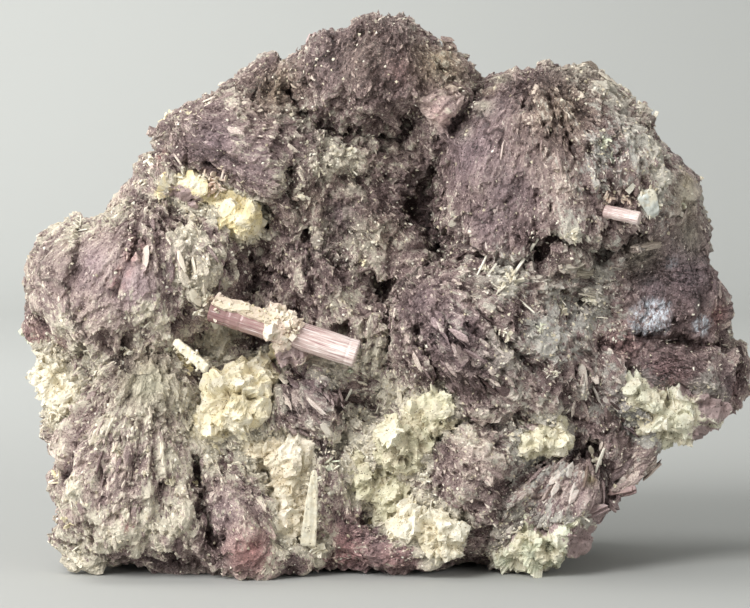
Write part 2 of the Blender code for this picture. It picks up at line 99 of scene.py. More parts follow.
def seen_at(places):
    """Pixels across and down at which places are seen."""
    offset = places - np.array(eye)
    depth = -(offset @ np.array(to_eye)) * pixel_slope
    across = PICTURE_WIDTH / 2 + (offset @ np.array(view_right)) / depth
    down = PICTURE_HEIGHT / 2 - (offset @ np.array(view_up)) / depth
    return across, down


# The lump. Lepidolite is a lilac mica. Here its small plates have grown outwards from many points into
# rounded lobes, so that every lobe is a fan of overlapping sheets whose edges show as streaks that run away
# from its pole.
BODY_GRAIN = 1.42 * MM
BODY_SOFTENING = 2
BODY_FILLING = 5 * MM
MERGE_DISTANCE = 1e-6
RANDOM_SEED = 5

# Fans on the face, in pixels: middle, reach, and the pole from which the sheets spread
FACE_FANS = (
    ((385, 70), 85, (385, 0)),
    ((235, 150), 80, (150, 110)),
    ((345, 190), 55, (300, 130)),
    ((385, 240), 40, (350, 190)),
    ((560, 150), 110, (530, 50)),
    ((480, 165), 60, (520, 60)),
    ((645, 170), 60, (590, 70)),
    ((125, 285), 90, (145, 180)),
    ((205, 262), 50, (165, 190)),
    ((45, 310), 45, (70, 220)),
    ((125, 470), 95, (150, 340)),
    ((60, 500), 50, (80, 400)),
    ((240, 515), 48, (205, 455)),
    ((285, 555), 35, (240, 500)),
    ((320, 290), 45, (295, 235)),
    ((310, 400), 50, (265, 355)),
    ((330, 500), 50, (320, 430)),
    ((470, 335), 85, (390, 262)),
    ((545, 375), 60, (455, 290)),
    ((480, 470), 55, (425, 425)),
    ((575, 500), 70, (600, 430)),
    ((640, 440), 50, (560, 520)),
    ((400, 540), 60, (310, 545)),
    ((690, 270), 60, (690, 170)),
    ((690, 385), 60, (615, 335)),
    ((735, 380), 30, (735, 320)),
    ((595, 310), 50, (560, 250)),
    ((600, 400), 50, (560, 330)),
    ((275, 85), 40, (275, 40)),
    ((440, 110), 30, (400, 95)),
)
HIDDEN_FANS = 26
HIDDEN_FAN_REACH = (14 * MM, 26 * MM)
HIDDEN_POLE_WAY = Vector((0, -0.3, 0.6))
POLE_DEPTH = 8 * MM
STREAK_OFFSET = 50

# Borders between fans, and the sheets of the crusts, wander with a smooth noise. Its three directions are
# samples of one noise that lie these shifts apart.
FAN_WANDER = 5 * MM
WANDER_SCALE = 200
WANDER_SHIFTS = (Vector((9.3, -1.5, -8.0)), Vector((0, 0, 0)), Vector((6.3, 0.2, -2.7)))

# Clefts on the face: points in pixels, width in pixels and depth in mm
CLEFTS = (
    (((288, 92), (312, 122), (350, 132), (400, 136), (412, 112)), 8, 5),
    (((482, 88), (452, 128)), 8, 5),
    (((452, 128), (436, 172)), 6, 2),
    (((434, 178), (420, 203), (424, 226), (440, 250)), 14, 8),
    (((178, 188), (225, 196), (262, 208), (268, 225)), 7, 5),
    (((248, 262), (256, 292)), 12, 6),
    (((292, 168), (288, 192), (308, 236)), 6, 4),
    (((380, 288), (382, 294)), 9, 9),
    (((481, 258), (520, 266), (558, 236), (600, 254), (640, 243)), 7, 5),
    (((386, 300), (390, 340), (384, 366)), 7, 4),
    (((60, 352), (120, 364), (188, 345), (206, 322)), 5, 1.5),
    (((232, 336), (282, 350)), 6, 3),
    (((196, 462), (200, 492), (204, 520), (214, 546)), 5, 4.5),
    (((334, 458), (341, 430), (338, 402)), 6, 4),
    (((424, 432), (470, 420), (500, 428), (520, 415)), 6, 4),
    (((508, 484), (560, 452), (598, 452), (612, 500)), 8, 5),
    (((622, 420), (636, 432)), 14, 5),
    (((640, 336), (672, 341), (734, 349)), 4, 4),
    (((521, 76), (526, 128)), 4, 1.5),
    (((470, 190), (476, 226)), 4, 1.5),
    (((141, 236), (128, 260), (115, 293)), 4, 2.4),
    (((166, 232), (158, 300)), 4, 1),
    (((80, 232), (70, 292)), 5, 2),
    (((415, 330), (450, 400)), 5, 2.5),
    (((440, 310), (495, 395)), 5, 2.5),
    (((470, 300), (530, 370)), 5, 2.5),
    (((345, 330), (330, 352)), 7, 4),
    (((270, 470), (278, 500)), 7, 3),
    (((395, 500), (372, 520)), 6, 3),
)
CLEFT_WANDER = 0.6
CLEFT_WANDER_SCALE = 280
CLEFT_FACING = 2.5
DEEP_CLEFT = 5

# Where the stone's rim is drawn in or let out, as the viewer sees it: middle and radius in pixels, and how
# many mm outwards
RIM_PUSHES = (
    ((634, 104), 30, -3.5),
    ((658, 134), 30, -4.5),
    ((700, 172), 14, -0.5),
    ((712, 260), 22, -3.5),
    ((729, 340), 12, -4.0),
    ((481, 78), 15, -4.0),
    ((440, 42), 24, -4.0),
    ((446, 46), 12, -2.5),
    ((416, 26), 10, -1.5),
    ((146, 152), 16, -1.5),
    ((26, 300), 14, -1.0),
    ((50, 452), 16, -1.5),
    ((274, 54), 14, -1.5),
    ((682, 166), 10, -1.5),
    ((340, 22), 14, -2.0),
    ((100, 208), 26, -3.5),
    ((152, 138), 18, -2.5),
    ((285, 54), 14, -1.5),
    ((57, 466), 16, -2.5),
    ((56, 509), 14, -1.5),
    ((32, 368), 26, -3.0),
    ((72, 221), 16, -2.0),
    ((722, 312), 20, 2.5),
    ((714, 432), 26, 5.0),
    ((645, 480), 30, 4.0),
)

# Patches on the face, in pixels: middle, radius and strength
FACE_PATCHES = {
    "violet": (
        (215, 145, 26, 1.0), (250, 165, 22, 0.7), (135, 285, 30, 1.0), (92, 262, 24, 0.9),
        (470, 150, 40, 1.0), (500, 110, 30, 0.8), (510, 190, 30, 0.8), (490, 222, 26, 0.8),
        (450, 330, 34, 0.9), (425, 300, 22, 0.8), (490, 350, 24, 0.6), (310, 385, 24, 0.8),
        (338, 215, 16, 0.8), (222, 510, 22, 0.5), (690, 270, 36, 1.3), (655, 285, 20, 1.2),
        (660, 378, 26, 0.8), (340, 60, 30, 0.5), (250, 550, 22, 0.5), (350, 550, 36, 0.8),
        (585, 500, 30, 0.5), (722, 395, 22, 0.8), (440, 110, 22, 0.7), (395, 555, 26, 0.7),
    ),
    "frost": (
        (75, 225, 26, 0.7), (110, 212, 22, 0.7), (140, 320, 30, 0.6), (90, 360, 26, 0.7),
        (215, 345, 22, 1.0), (235, 330, 16, 0.8), (330, 372, 22, 0.9), (350, 355, 16, 0.8),
        (355, 445, 20, 1.0), (362, 420, 16, 1.0), (505, 355, 22, 0.8), (80, 560, 30, 0.9),
        (160, 520, 30, 0.8), (650, 140, 26, 0.8), (665, 175, 20, 0.8), (698, 200, 18, 0.6),
        (620, 100, 30, 0.6), (60, 320, 26, 0.5), (198, 272, 28, 1.1), (190, 240, 20, 0.8),
        (222, 262, 18, 0.5), (42, 368, 20, 1.2), (58, 398, 18, 1.2), (58, 420, 12, 1.2),
        (72, 490, 12, 1.2), (56, 505, 14, 1.0), (55, 540, 12, 0.8), (130, 430, 50, 0.35),
        (180, 400, 26, 0.5), (170, 470, 34, 0.5), (110, 540, 34, 0.5), (150, 540, 26, 0.5),
        (215, 450, 20, 0.7), (262, 452, 30, 1.0), (300, 500, 26, 1.0), (285, 540, 20, 1.0),
        (318, 545, 16, 1.0), (330, 440, 20, 0.6), (370, 470, 36, 0.6), (395, 400, 34, 0.7),
        (425, 520, 30, 1.0), (445, 545, 20, 0.8), (460, 435, 20, 0.4), (520, 445, 26, 0.8),
        (545, 345, 20, 0.7), (532, 330, 18, 0.7), (505, 280, 22, 0.8), (590, 310, 30, 0.8),
        (560, 300, 22, 0.6), (600, 400, 26, 0.4), (640, 400, 24, 0.7), (680, 410, 26, 0.7),
        (604, 150, 16, 0.8), (600, 180, 16, 0.4), (650, 200, 16, 0.7), (335, 155, 26, 0.7),
        (300, 125, 22, 0.4), (355, 175, 22, 0.6), (285, 180, 22, 0.5), (360, 240, 24, 0.6),
        (318, 232, 20, 0.4), (230, 205, 20, 0.6), (150, 165, 12, 0.6), (148, 135, 10, 0.6),
        (400, 490, 24, 0.5), (530, 540, 26, 0.7), (350, 300, 18, 0.4), (372, 355, 20, 0.6),
        (570, 235, 16, 0.5), (600, 270, 20, 0.7), (640, 480, 24, 0.5), (560, 470, 20, 0.4),
        (180, 355, 20, 0.8),
    ),
    "pink": (
        (138, 242, 6, 1.1), (131, 256, 6, 1.1), (124, 270, 6, 1.1), (117, 286, 6, 1.0),
        (158, 155, 9, 1.4), (440, 116, 16, 0.3), (225, 312, 12, 0.7), (310, 348, 12, 0.6),
        (625, 340, 18, 0.5), (250, 555, 24, 1.0), (345, 552, 30, 0.8), (665, 378, 22, 0.4),
        (735, 390, 12, 0.4), (290, 345, 8, 0.6), (400, 70, 14, 0.4), (714, 315, 12, 0.9),
        (395, 560, 26, 0.6), (129, 526, 5, 0.9),
    ),
    "ochre": (
        (440, 62, 30, 0.9), (360, 55, 40, 0.3), (275, 90, 28, 0.7), (380, 288, 10, 1.2),
        (592, 478, 6, 1.5), (690, 178, 10, 0.7), (210, 203, 14, 0.9), (252, 234, 10, 1.0),
        (350, 170, 30, 0.3), (560, 105, 44, 0.5), (118, 452, 5, 1.2), (310, 200, 26, 0.3),
        (380, 232, 26, 0.4), (56, 352, 6, 0.9), (52, 385, 6, 0.9), (485, 85, 12, 0.9),
        (150, 380, 30, 0.6),
    ),
    "grey": (
        (500, 80, 11, 0.9), (484, 106, 10, 0.8), (462, 130, 10, 0.7), (540, 66, 14, 0.8),
        (606, 86, 14, 0.7), (150, 385, 34, 1.2), (185, 405, 18, 0.8), (300, 405, 16, 0.3),
        (640, 255, 24, 0.8), (690, 235, 24, 0.8), (686, 196, 24, 0.8), (650, 120, 26, 0.5),
        (580, 75, 30, 0.6), (480, 285, 12, 0.4), (60, 250, 24, 0.2), (590, 270, 30, 0.4),
        (630, 470, 30, 0.6), (628, 425, 14, 0.8),
    ),
    "grainy": (
        (385, 65, 80, 1.0), (345, 200, 50, 0.6), (275, 90, 30, 0.8), (480, 470, 45, 0.7),
        (60, 300, 30, 0.4),
    ),
    "streaky": (
        (470, 365, 40, 1.0), (440, 330, 26, 0.8), (500, 390, 26, 0.8), (185, 270, 24, 0.9),
        (230, 160, 30, 0.7), (310, 395, 36, 1.0), (560, 505, 36, 0.8), (620, 480, 30, 0.8),
        (110, 480, 60, 0.35), (500, 100, 40, 0.5), (545, 150, 30, 0.5), (600, 380, 30, 0.6),
        (150, 540, 30, 0.2), (60, 460, 30, 0.2),
    ),
    "layered": (
        (665, 376, 34, 1.0), (690, 275, 30, 0.6), (650, 270, 20, 0.5), (625, 345, 16, 0.6),
        (725, 385, 18, 0.5),
    ),
    "silver_glare": (
        (650, 320, 20, 1.2), (664, 308, 10, 0.8), (702, 325, 12, 0.9), (672, 262, 12, 0.4),
    ),
    "smooth": (
        (672, 272, 40, 1.2), (692, 235, 24, 1.0), (640, 262, 24, 0.9), (652, 320, 24, 1.1),
        (702, 325, 22, 1.0), (668, 372, 36, 1.2), (718, 312, 18, 0.8), (724, 372, 22, 0.9),
        (645, 348, 20, 0.9), (600, 505, 30, 0.6), (650, 462, 24, 0.5), (470, 140, 36, 0.9),
        (492, 105, 26, 0.8), (500, 190, 30, 0.7), (485, 225, 24, 0.7), (136, 285, 26, 0.8),
        (92, 260, 20, 0.7), (215, 150, 24, 0.6), (150, 385, 28, 0.8), (232, 505, 18, 0.3),
        (250, 556, 26, 0.7), (395, 558, 30, 0.6), (430, 110, 22, 0.8), (695, 195, 20, 0.8),
        (425, 300, 20, 0.6), (95, 245, 34, 0.8), (50, 300, 30, 0.7), (105, 320, 26, 0.5),
        (460, 165, 30, 0.9), (510, 220, 26, 0.7), (200, 140, 30, 0.7), (255, 165, 26, 0.6),
        (345, 60, 34, 0.5), (400, 72, 20, 0.7), (530, 85, 30, 0.6), (480, 320, 26, 0.4),
        (70, 470, 26, 0.4), (505, 150, 40, 0.8), (535, 185, 30, 0.6), (88, 290, 30, 0.9),
        (60, 255, 30, 0.6), (120, 250, 24, 0.8),
    ),
    "cool": (
        (680, 260, 110, 1.0), (650, 400, 100, 1.0), (560, 480, 80, 0.9), (600, 160, 90, 0.9),
        (330, 400, 40, 0.7), (560, 330, 90, 0.9), (470, 330, 50, 0.5), (500, 250, 50, 0.7),
    ),
    # Dark patches: partly darker mica, partly painted shade where the lobes lie in shadow
    "dark": (
        (345, 45, 46, 1.2), (375, 70, 60, 1.4), (430, 80, 26, 1.4), (505, 225, 32, 0.4),
        (345, 215, 40, 1.1), (320, 262, 30, 0.6), (150, 150, 24, 0.8), (190, 262, 24, 0.6),
        (310, 395, 36, 0.6), (215, 150, 32, 0.4), (470, 370, 44, 1.6), (672, 372, 40, 1.5),
        (690, 290, 40, 1.2), (650, 270, 30, 1.4), (540, 85, 40, 1.0), (545, 140, 30, 0.8),
        (672, 275, 40, 1.6), (690, 235, 22, 0.6), (250, 85, 36, 0.7), (470, 150, 44, 0.4),
        (415, 285, 30, 0.5), (620, 100, 26, 0.4), (262, 185, 18, 1.0), (325, 245, 22, 1.0),
        (722, 392, 26, 1.2), (45, 310, 30, 0.5), (390, 215, 26, 0.8), (400, 262, 30, 0.9),
        (408, 315, 34, 0.9), (430, 340, 24, 0.6), (482, 285, 14, 0.7), (585, 305, 14, 0.5),
        (620, 395, 24, 0.8), (410, 450, 24, 0.5), (500, 545, 40, 0.6), (590, 280, 24, 0.6),
        (270, 290, 20, 0.6), (575, 420, 26, 0.6), (600, 460, 26, 0.6), (345, 420, 12, 0.7),
        (250, 150, 30, 0.3), (300, 140, 30, 0.5),
    ),
    # Light patches: partly paler mica, partly painted light where the lobes are lit from the left and on
    # faces turned away from the lamps
    "light": (
        (90, 245, 44, 1.3), (60, 300, 40, 0.8), (140, 275, 30, 1.7), (105, 330, 50, 1.8),
        (160, 350, 44, 1.0), (85, 400, 50, 0.8), (75, 480, 50, 0.8), (90, 545, 50, 1.0),
        (160, 520, 44, 0.9), (150, 440, 50, 0.6), (140, 150, 20, 0.3), (650, 140, 30, 0.6),
        (215, 335, 26, 1.0), (338, 360, 24, 1.1), (355, 440, 24, 1.0), (510, 355, 26, 0.9),
        (480, 450, 40, 2.6), (590, 470, 40, 1.3), (440, 115, 26, 0.8), (385, 350, 26, 0.8),
        (400, 480, 20, 0.8), (260, 260, 20, 0.8), (340, 296, 16, 0.5), (350, 350, 20, 0.8),
        (560, 450, 30, 0.6), (425, 490, 26, 0.9), (190, 220, 30, 0.8), (130, 310, 40, 1.2),
        (560, 185, 30, 0.8), (460, 60, 24, 0.7), (250, 545, 36, 0.6), (190, 260, 40, 0.7),
        (432, 116, 26, 2.1), (310, 395, 36, 0.3), (600, 500, 50, 1.6), (686, 196, 32, 2.0),
        (185, 275, 30, 0.7), (108, 265, 34, 2.1), (150, 378, 28, 2.0), (722, 340, 10, 0.5),
        (508, 76, 12, 1.7), (488, 103, 10, 1.6), (466, 128, 10, 1.4), (540, 63, 12, 1.5),
        (575, 66, 14, 1.2), (90, 285, 60, 0.7), (60, 440, 50, 1.4), (120, 500, 70, 1.4),
        (60, 340, 40, 0.7), (140, 400, 50, 1.3), (540, 290, 24, 1.2), (640, 460, 30, 0.7),
        (600, 330, 20, 0.7), (500, 480, 34, 0.7), (380, 340, 24, 0.9),
    ),
}
# Patches on the sides that the photograph doesn't show: how many, smallest and largest radius, strength
HIDDEN_PATCHES = {
    "violet": (16, 7 * MM, 14 * MM, 0.9),
    "frost": (26, 3 * MM, 9 * MM, 0.8),
    "pink": (9, 3 * MM, 7 * MM, 0.7),
    "ochre": (12, 8 * MM, 16 * MM, 0.5),
    "grey": (7, 6 * MM, 12 * MM, 0.7),
    "grainy": (6, 10 * MM, 18 * MM, 0.8),
    "streaky": (14, 8 * MM, 16 * MM, 0.8),
    "layered": (6, 6 * MM, 10 * MM, 0.9),
    "silver_glare": (3, 3 * MM, 5 * MM, 0.8),
    "cool": (10, 12 * MM, 24 * MM, 0.9),
    "smooth": (12, 7 * MM, 13 * MM, 0.8),
    "dark": (12, 6 * MM, 14 * MM, 0.8),
    "light": (18, 8 * MM, 16 * MM, 0.9),
}

# Frosting gathers on the mica round each crust, to about this far from it
CRUST_HALO = 2.5 * MM
# The smooth patches are evened out where they are this strong and the clefts are less deep than this in mm
SMOOTH_FROM = 0.35
SMOOTH_CLEFT = 0.4
SMOOTH_PASSES = 14
# Least share of a normal that points at the viewer, for the face, or away from the viewer, for the back
FACING_LIMIT = 0.05


def merged_copy(node_name):
    """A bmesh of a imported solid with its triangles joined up."""
    shape = bmesh.new()
    shape.from_mesh(frame["nodes"][node_name].data)
    bmesh.ops.remove_doubles(shape, verts=shape.verts, dist=MERGE_DISTANCE)
    return shape


def object_of(shape, name):
    data = bpy.data.meshes.new(name)
    shape.to_mesh(data)
    shape.free()
    made = bpy.data.objects.new(name, data)
    bpy.context.scene.collection.objects.link(made)
    return made


def plain_mesh(obj, name):
    """The mesh that obj's modifiers give. obj is removed."""
    graph = bpy.context.evaluated_depsgraph_get()
    graph.update()
    shown = obj.evaluated_get(graph)
    data = bpy.data.meshes.new_from_object(shown, preserve_all_data_layers=True, depsgraph=graph)
    bpy.data.objects.remove(obj)
    data.name = name
    return data


def regrained(node_name, grain, softening, filling=0.0):
    """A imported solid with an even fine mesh, its facets softened and its narrow grooves filled."""
    maker = object_of(merged_copy(node_name), node_name + "_maker")
    for swelling in (filling, -filling) if filling else (0,):
        swell = maker.modifiers.new("swell", "DISPLACE")
        swell.strength = swelling
        swell.mid_level = 0
        remesh = maker.modifiers.new("even", "REMESH")
        remesh.mode = "VOXEL"
        remesh.voxel_size = grain
    soften = maker.modifiers.new("soften", "SMOOTH")
    soften.factor = 0.5
    soften.iterations = softening
    return plain_mesh(maker, node_name + "_regrained")


def finer_face(mesh):
    """Halves the grain where the mesh faces the viewer, so that the best side holds the finest relief."""
    shape = bmesh.new()
    shape.from_mesh(mesh)
    shape.normal_update()
    edges = {edge for face in shape.faces if face.normal.dot(to_eye) > FACING_LIMIT for edge in face.edges}
    edges = sorted(edges, key=lambda edge: edge.index)
    bmesh.ops.subdivide_edges(shape, edges=edges, cuts=1, use_grid_fill=True)
    shape.to_mesh(mesh)
    shape.free()


def vectors_of(items, key):
    found = np.empty(len(items) * 3, np.float32)
    items.foreach_get(key, found)
    return found.reshape(-1, 3).astype(float)


def points_of(mesh):
    return vectors_of(mesh.vertices, "co")


def normals_of(mesh):
    return vectors_of(mesh.vertex_normals, "vector")


def move_points(mesh, spots):
    mesh.vertices.foreach_set("co", spots.astype(np.float32).ravel())
    mesh.update()


def give(mesh, name, values):
    """Stores a number or a direction on every point of a mesh."""
    values = np.asarray(values, np.float32)
    kind, key = ("FLOAT", "value") if values.ndim == 1 else ("FLOAT_VECTOR", "vector")
    mesh.attributes.new(name, kind, "POINT").data.foreach_set(key, values.ravel())


def unit(directions):
    return directions / np.maximum(np.linalg.norm(directions, axis=1), 1e-6)[:, None]


def tree_of(mesh):
    spots = [vertex.co.copy() for vertex in mesh.vertices]
    return BVHTree.FromPolygons(spots, [tuple(face.vertices) for face in mesh.polygons])


def on_stone(tree, across, down):
    """Place on the stone that a pixel of the photograph shows, and the stone's normal there."""
    place, normal, _, _ = tree.ray_cast(eye, sight(across, down))
    if place is None:
        place, normal, _, _ = tree.find_nearest(eye + sight(across, down) * VIEW_DISTANCE)
    return place, normal


body_mesh = regrained("lepidolite_mass", BODY_GRAIN, BODY_SOFTENING, BODY_FILLING)
finer_face(body_mesh)
places = points_of(body_mesh)
normals = normals_of(body_mesh)
body_tree = tree_of(body_mesh)
dice = random.Random(RANDOM_SEED)


def path_distance(across, down, path):
    """Distance in pixels from each seen place to a path of straight runs."""
    nearest = np.full(len(across), np.inf)
    for (x0, y0), (x1, y1) in zip(path, path[1:]):
        run_x, run_y = x1 - x0, y1 - y0
        along = ((across - x0) * run_x + (down - y0) * run_y) / (run_x ** 2 + run_y ** 2)
        along = along.clip(0, 1)
        nearest = np.minimum(nearest, np.hypot(across - x0 - along * run_x, down - y0 - along * run_y))
    return nearest


def cleft_depths():
    """How far each point sinks into the clefts, in mm, with wandering edges."""
    across, down = seen_at(places)
    facing = (normals @ np.array(to_eye) * CLEFT_FACING).clip(0, 1)
    wander = np.array([noise.noise(Vector(place) * CLEFT_WANDER_SCALE) for place in places])
    depths = np.zeros(len(places))
    for path, width, depth in CLEFTS:
        nearness = path_distance(across, down, path) / width * (1 + CLEFT_WANDER * wander)
        depths = np.maximum(depths, depth * np.exp(-nearness ** 2) * facing)
    return depths


def fading(across, down, middle, radius):
    """1 at a pixel of the photograph, falling smoothly to 0 away from it."""
    x, y = middle
    return np.exp(-((across - x) ** 2 + (down - y) ** 2) / radius ** 2)


def pushed_rim(places, normals):
    """How far each point of the rim is drawn in or let out, across the line of sight."""
    across, down = seen_at(places)
    outward = normals - np.outer(normals @ np.array(to_eye), to_eye)
    push = np.zeros(len(places))
    for middle, radius, amount in RIM_PUSHES:
        push += amount * MM * fading(across, down, middle, radius)
    return outward * push[:, None]


places += pushed_rim(places, normals)
clefts = cleft_depths()
places -= np.array(to_eye) * clefts[:, None] * MM
move_points(body_mesh, places)
normals = normals_of(body_mesh)


def hidden_place():
    """A place chosen by chance on the back, the sides or the top."""
    while True:
        index = dice.randrange(len(places))
        if normals[index][1] > FACING_LIMIT:
            return Vector(places[index])


def smoothed(chosen):
    """Evens out the facets of the body at the chosen points."""
    shape = bmesh.new()
    shape.from_mesh(body_mesh)
    shape.verts.ensure_lookup_table()
    points = [shape.verts[index] for index in np.flatnonzero(chosen)]
    ways = {"use_axis_x": True, "use_axis_y": True, "use_axis_z": True}
    for _ in range(SMOOTH_PASSES):
        bmesh.ops.smooth_vert(shape, verts=points, factor=0.5, **ways)
    shape.to_mesh(body_mesh)
    shape.free()


def fan_list():
    """Each fan's middle, reach and pole in the frame."""
    fans = []
    for (across, down), reach, (pole_across, pole_down) in FACE_FANS:
        middle, _ = on_stone(body_tree, across, down)
        depth = (middle - eye).length
        pole = eye + sight(pole_across, pole_down) * depth + Vector((0, POLE_DEPTH, 0))
        fans.append((middle, reach * depth * pixel_slope, pole))
    for _ in range(HIDDEN_FANS):
        middle = hidden_place()
        reach = dice.uniform(*HIDDEN_FAN_REACH)
        lean = Vector(dice.uniform(-1, 1) for _ in range(3))
        fans.append((middle, reach, middle + (lean + HIDDEN_POLE_WAY).normalized() * reach))
    return fans


def wander_of(spots, amount):
    """A smooth wander for each place."""
    starts = [Vector(spot) * WANDER_SCALE for spot in spots]
    samples = [[noise.noise(start + shift) for shift in WANDER_SHIFTS] for start in starts]
    return np.array(samples) * amount


def spread_fans():
    """Gives every point of the body its place in its fan and the direction in which the sheets run there."""
    fans = fan_list()
    spots = places + wander_of(places, FAN_WANDER)
    nearness = [np.linalg.norm(spots - np.array(middle), axis=1) / reach for middle, reach, _ in fans]
    chosen = np.stack(nearness).argmin(0)
    poles = np.array([pole for _, _, pole in fans])[chosen]
    reaches = np.array([reach for _, reach, _ in fans])[chosen]
    shifts = [[dice.uniform(-STREAK_OFFSET, STREAK_OFFSET) for _ in range(3)] for _ in fans]
    away = places - poles
    length = np.linalg.norm(away, axis=1)
    away /= length[:, None]
    give(body_mesh, "streak", away * reaches[:, None] / MM + np.array(shifts)[chosen])
    give(body_mesh, "reach", length / MM)
    give(body_mesh, "run", unit(away - normals * (away * normals).sum(1)[:, None]))


def patch_strength(kind):
    """How strongly one kind of patch marks every point of the body."""
    spots = []
    for across, down, radius, strength in FACE_PATCHES[kind]:
        middle, _ = on_stone(body_tree, across, down)
        spots.append((middle, radius * (middle - eye).length * pixel_slope, strength))
    count, smallest, largest, strength = HIDDEN_PATCHES[kind]
    for _ in range(count):
        spots.append((hidden_place(), dice.uniform(smallest, largest), strength))
    total = np.zeros(len(places))
    for middle, radius, strength in spots:
        apart = np.linalg.norm(places - np.array(middle), axis=1) / radius
        total = np.maximum(total, strength * np.exp(-apart ** 2))
    return total


def nearness_to_crusts():
    """1 beside an albite crust, falling to 0 a few millimetres away from it."""
    shape = bmesh.new()
    for name, crust in frame["nodes"].items():
        if name.startswith("albite"):
            shape.from_mesh(crust.data)
    crusts = BVHTree.FromBMesh(shape)
    shape.free()
    apart = np.array([crusts.find_nearest(Vector(place))[3] for place in places])
    return np.exp(-(apart / CRUST_HALO) ** 2)


patches = {kind: patch_strength(kind) for kind in FACE_PATCHES}
smoothed((patches["smooth"] > SMOOTH_FROM) & (clefts < SMOOTH_CLEFT))
places = points_of(body_mesh)
normals = normals_of(body_mesh)
spread_fans()
patches["frost"] = np.maximum(patches["frost"], nearness_to_crusts())
# How deep each point lies in a cleft; the mica's tone is darkened by it as painted shade
patches["cleft"] = (clefts / DEEP_CLEFT).clip(0, 1)
for kind, strength in patches.items():
    give(body_mesh, kind, strength)


def node(tree, kind, inputs=None, **settings):
    """Adds a node. Each of its inputs gets a value or another node's output."""
    made = tree.nodes.new(kind)
    for name, value in settings.items():
        setattr(made, name, value)
    for name, value in (inputs or {}).items():
        if isinstance(value, bpy.types.NodeSocket):
            tree.links.new(value, made.inputs[name])
        else:
            made.inputs[name].default_value = value
    return made


def math_node(tree, operation, *values, clamp=False):
    inputs = dict(enumerate(values))
    return node(tree, "ShaderNodeMath", inputs, operation=operation, use_clamp=clamp).outputs[0]


def times(tree, first, second, clamp=False):
    return math_node(tree, "MULTIPLY", first, second, clamp=clamp)


def minus(tree, first, second, clamp=False):
    return math_node(tree, "SUBTRACT", first, second, clamp=clamp)


def summed(tree, total, *parts, clamp=False):
    """A value with each part added to it, times the part's own share."""
    for index, (part, share) in enumerate(parts, 1):
        total = math_node(tree, "MULTIPLY_ADD", part, share, total, clamp=clamp and index == len(parts))
    return total


def vector_node(tree, operation, *values, output=0, **named):
    inputs = {**dict(enumerate(values)), **named}
    return node(tree, "ShaderNodeVectorMath", inputs, operation=operation).outputs[output]


def scaled(tree, vector, scale):
    return vector_node(tree, "SCALE", vector, Scale=scale)


def noise_node(tree, vector, scale, detail=2, roughness=0.5, w=None, output=0):
    inputs = {"Vector": vector, "Scale": scale, "Detail": detail, "Roughness": roughness}
    if w is not None:
        inputs["W"] = w
    dimensions = "3D" if w is None else "4D"
    return node(tree, "ShaderNodeTexNoise", inputs, noise_dimensions=dimensions).outputs[output]


def streak_noise(tree, streak, reach, scale, turn, detail=2, roughness=0.6):
    """Noise drawn out along the sheets of each fan. Turn is how fast it changes along them."""
    return noise_node(tree, streak, scale, detail, roughness, w=times(tree, reach, turn))


def smooth_step(tree, value, low, high):
    inputs = {0: value, 1: low, 2: high}
    return node(tree, "ShaderNodeMapRange", inputs, interpolation_type="SMOOTHSTEP").outputs[0]


def ridge(tree, value):
    """Turns noise round 0.5 into sharp crests with hollows between them, about 0 on average."""
    apart = math_node(tree, "ABSOLUTE", minus(tree, value, 0.5))
    return summed(tree, 0.5, (apart, -6.0))


def geometry_tree(name, **sizes):
    """A tree that changes a mesh, with a named input for each size. Returns it and its input node."""
    tree = bpy.data.node_groups.new(name, "GeometryNodeTree")
    tree.interface.new_socket("Geometry", in_out="INPUT", socket_type="NodeSocketGeometry")
    for size, value in sizes.items():
        kind = "NodeSocketInt" if isinstance(value, int) else "NodeSocketFloat"
        tree.interface.new_socket(size, in_out="INPUT", socket_type=kind).default_value = value
    tree.interface.new_socket("Geometry", in_out="OUTPUT", socket_type="NodeSocketGeometry")
    return tree, tree.nodes.new("NodeGroupInput")


def stored(tree, name, kind="FLOAT"):
    """A value that the mesh stores on its points."""
    return node(tree, "GeometryNodeInputNamedAttribute", {"Name": name}, data_type=kind).outputs[0]


def in_mm(tree):
    return scaled(tree, node(tree, "GeometryNodeInputPosition").outputs[0], 1 / MM)


def keep_on_points(tree, points, name, value, kind="FLOAT"):
    inputs = {"Geometry": points, "Name": name, "Value": value}
    return node(tree, "GeometryNodeStoreNamedAttribute", inputs, data_type=kind, domain="POINT").outputs[0]


def finish_tree(tree, geometry, material):
    realized = node(tree, "GeometryNodeRealizeInstances", {"Geometry": geometry}).outputs[0]
    dressed = node(tree, "GeometryNodeSetMaterial", {"Geometry": realized, "Material": material}).outputs[0]
    tree.links.new(dressed, tree.nodes.new("NodeGroupOutput").inputs[0])


def raised_by(tree, geometry, height):
    """Moves a mesh along its normals by a height in mm."""
    normal = node(tree, "GeometryNodeInputNormal").outputs[0]
    offset = scaled(tree, normal, times(tree, height, MM))
    return node(tree, "GeometryNodeSetPosition", {"Geometry": geometry, "Offset": offset}).outputs[0]


def shaped_by(tree, mesh, name, **sizes):
    """The plain mesh that a geometry tree makes of this one."""
    maker = bpy.data.objects.new(name + "_maker", mesh)
    bpy.context.scene.collection.objects.link(maker)
    modifier = maker.modifiers.new("nodes", "NODES")
    modifier.node_group = tree
    for item in tree.interface.items_tree:
        if item.item_type == "SOCKET" and item.in_out == "INPUT" and item.name in sizes:
            modifier[item.identifier] = sizes[item.name]
    return plain_mesh(maker, name)


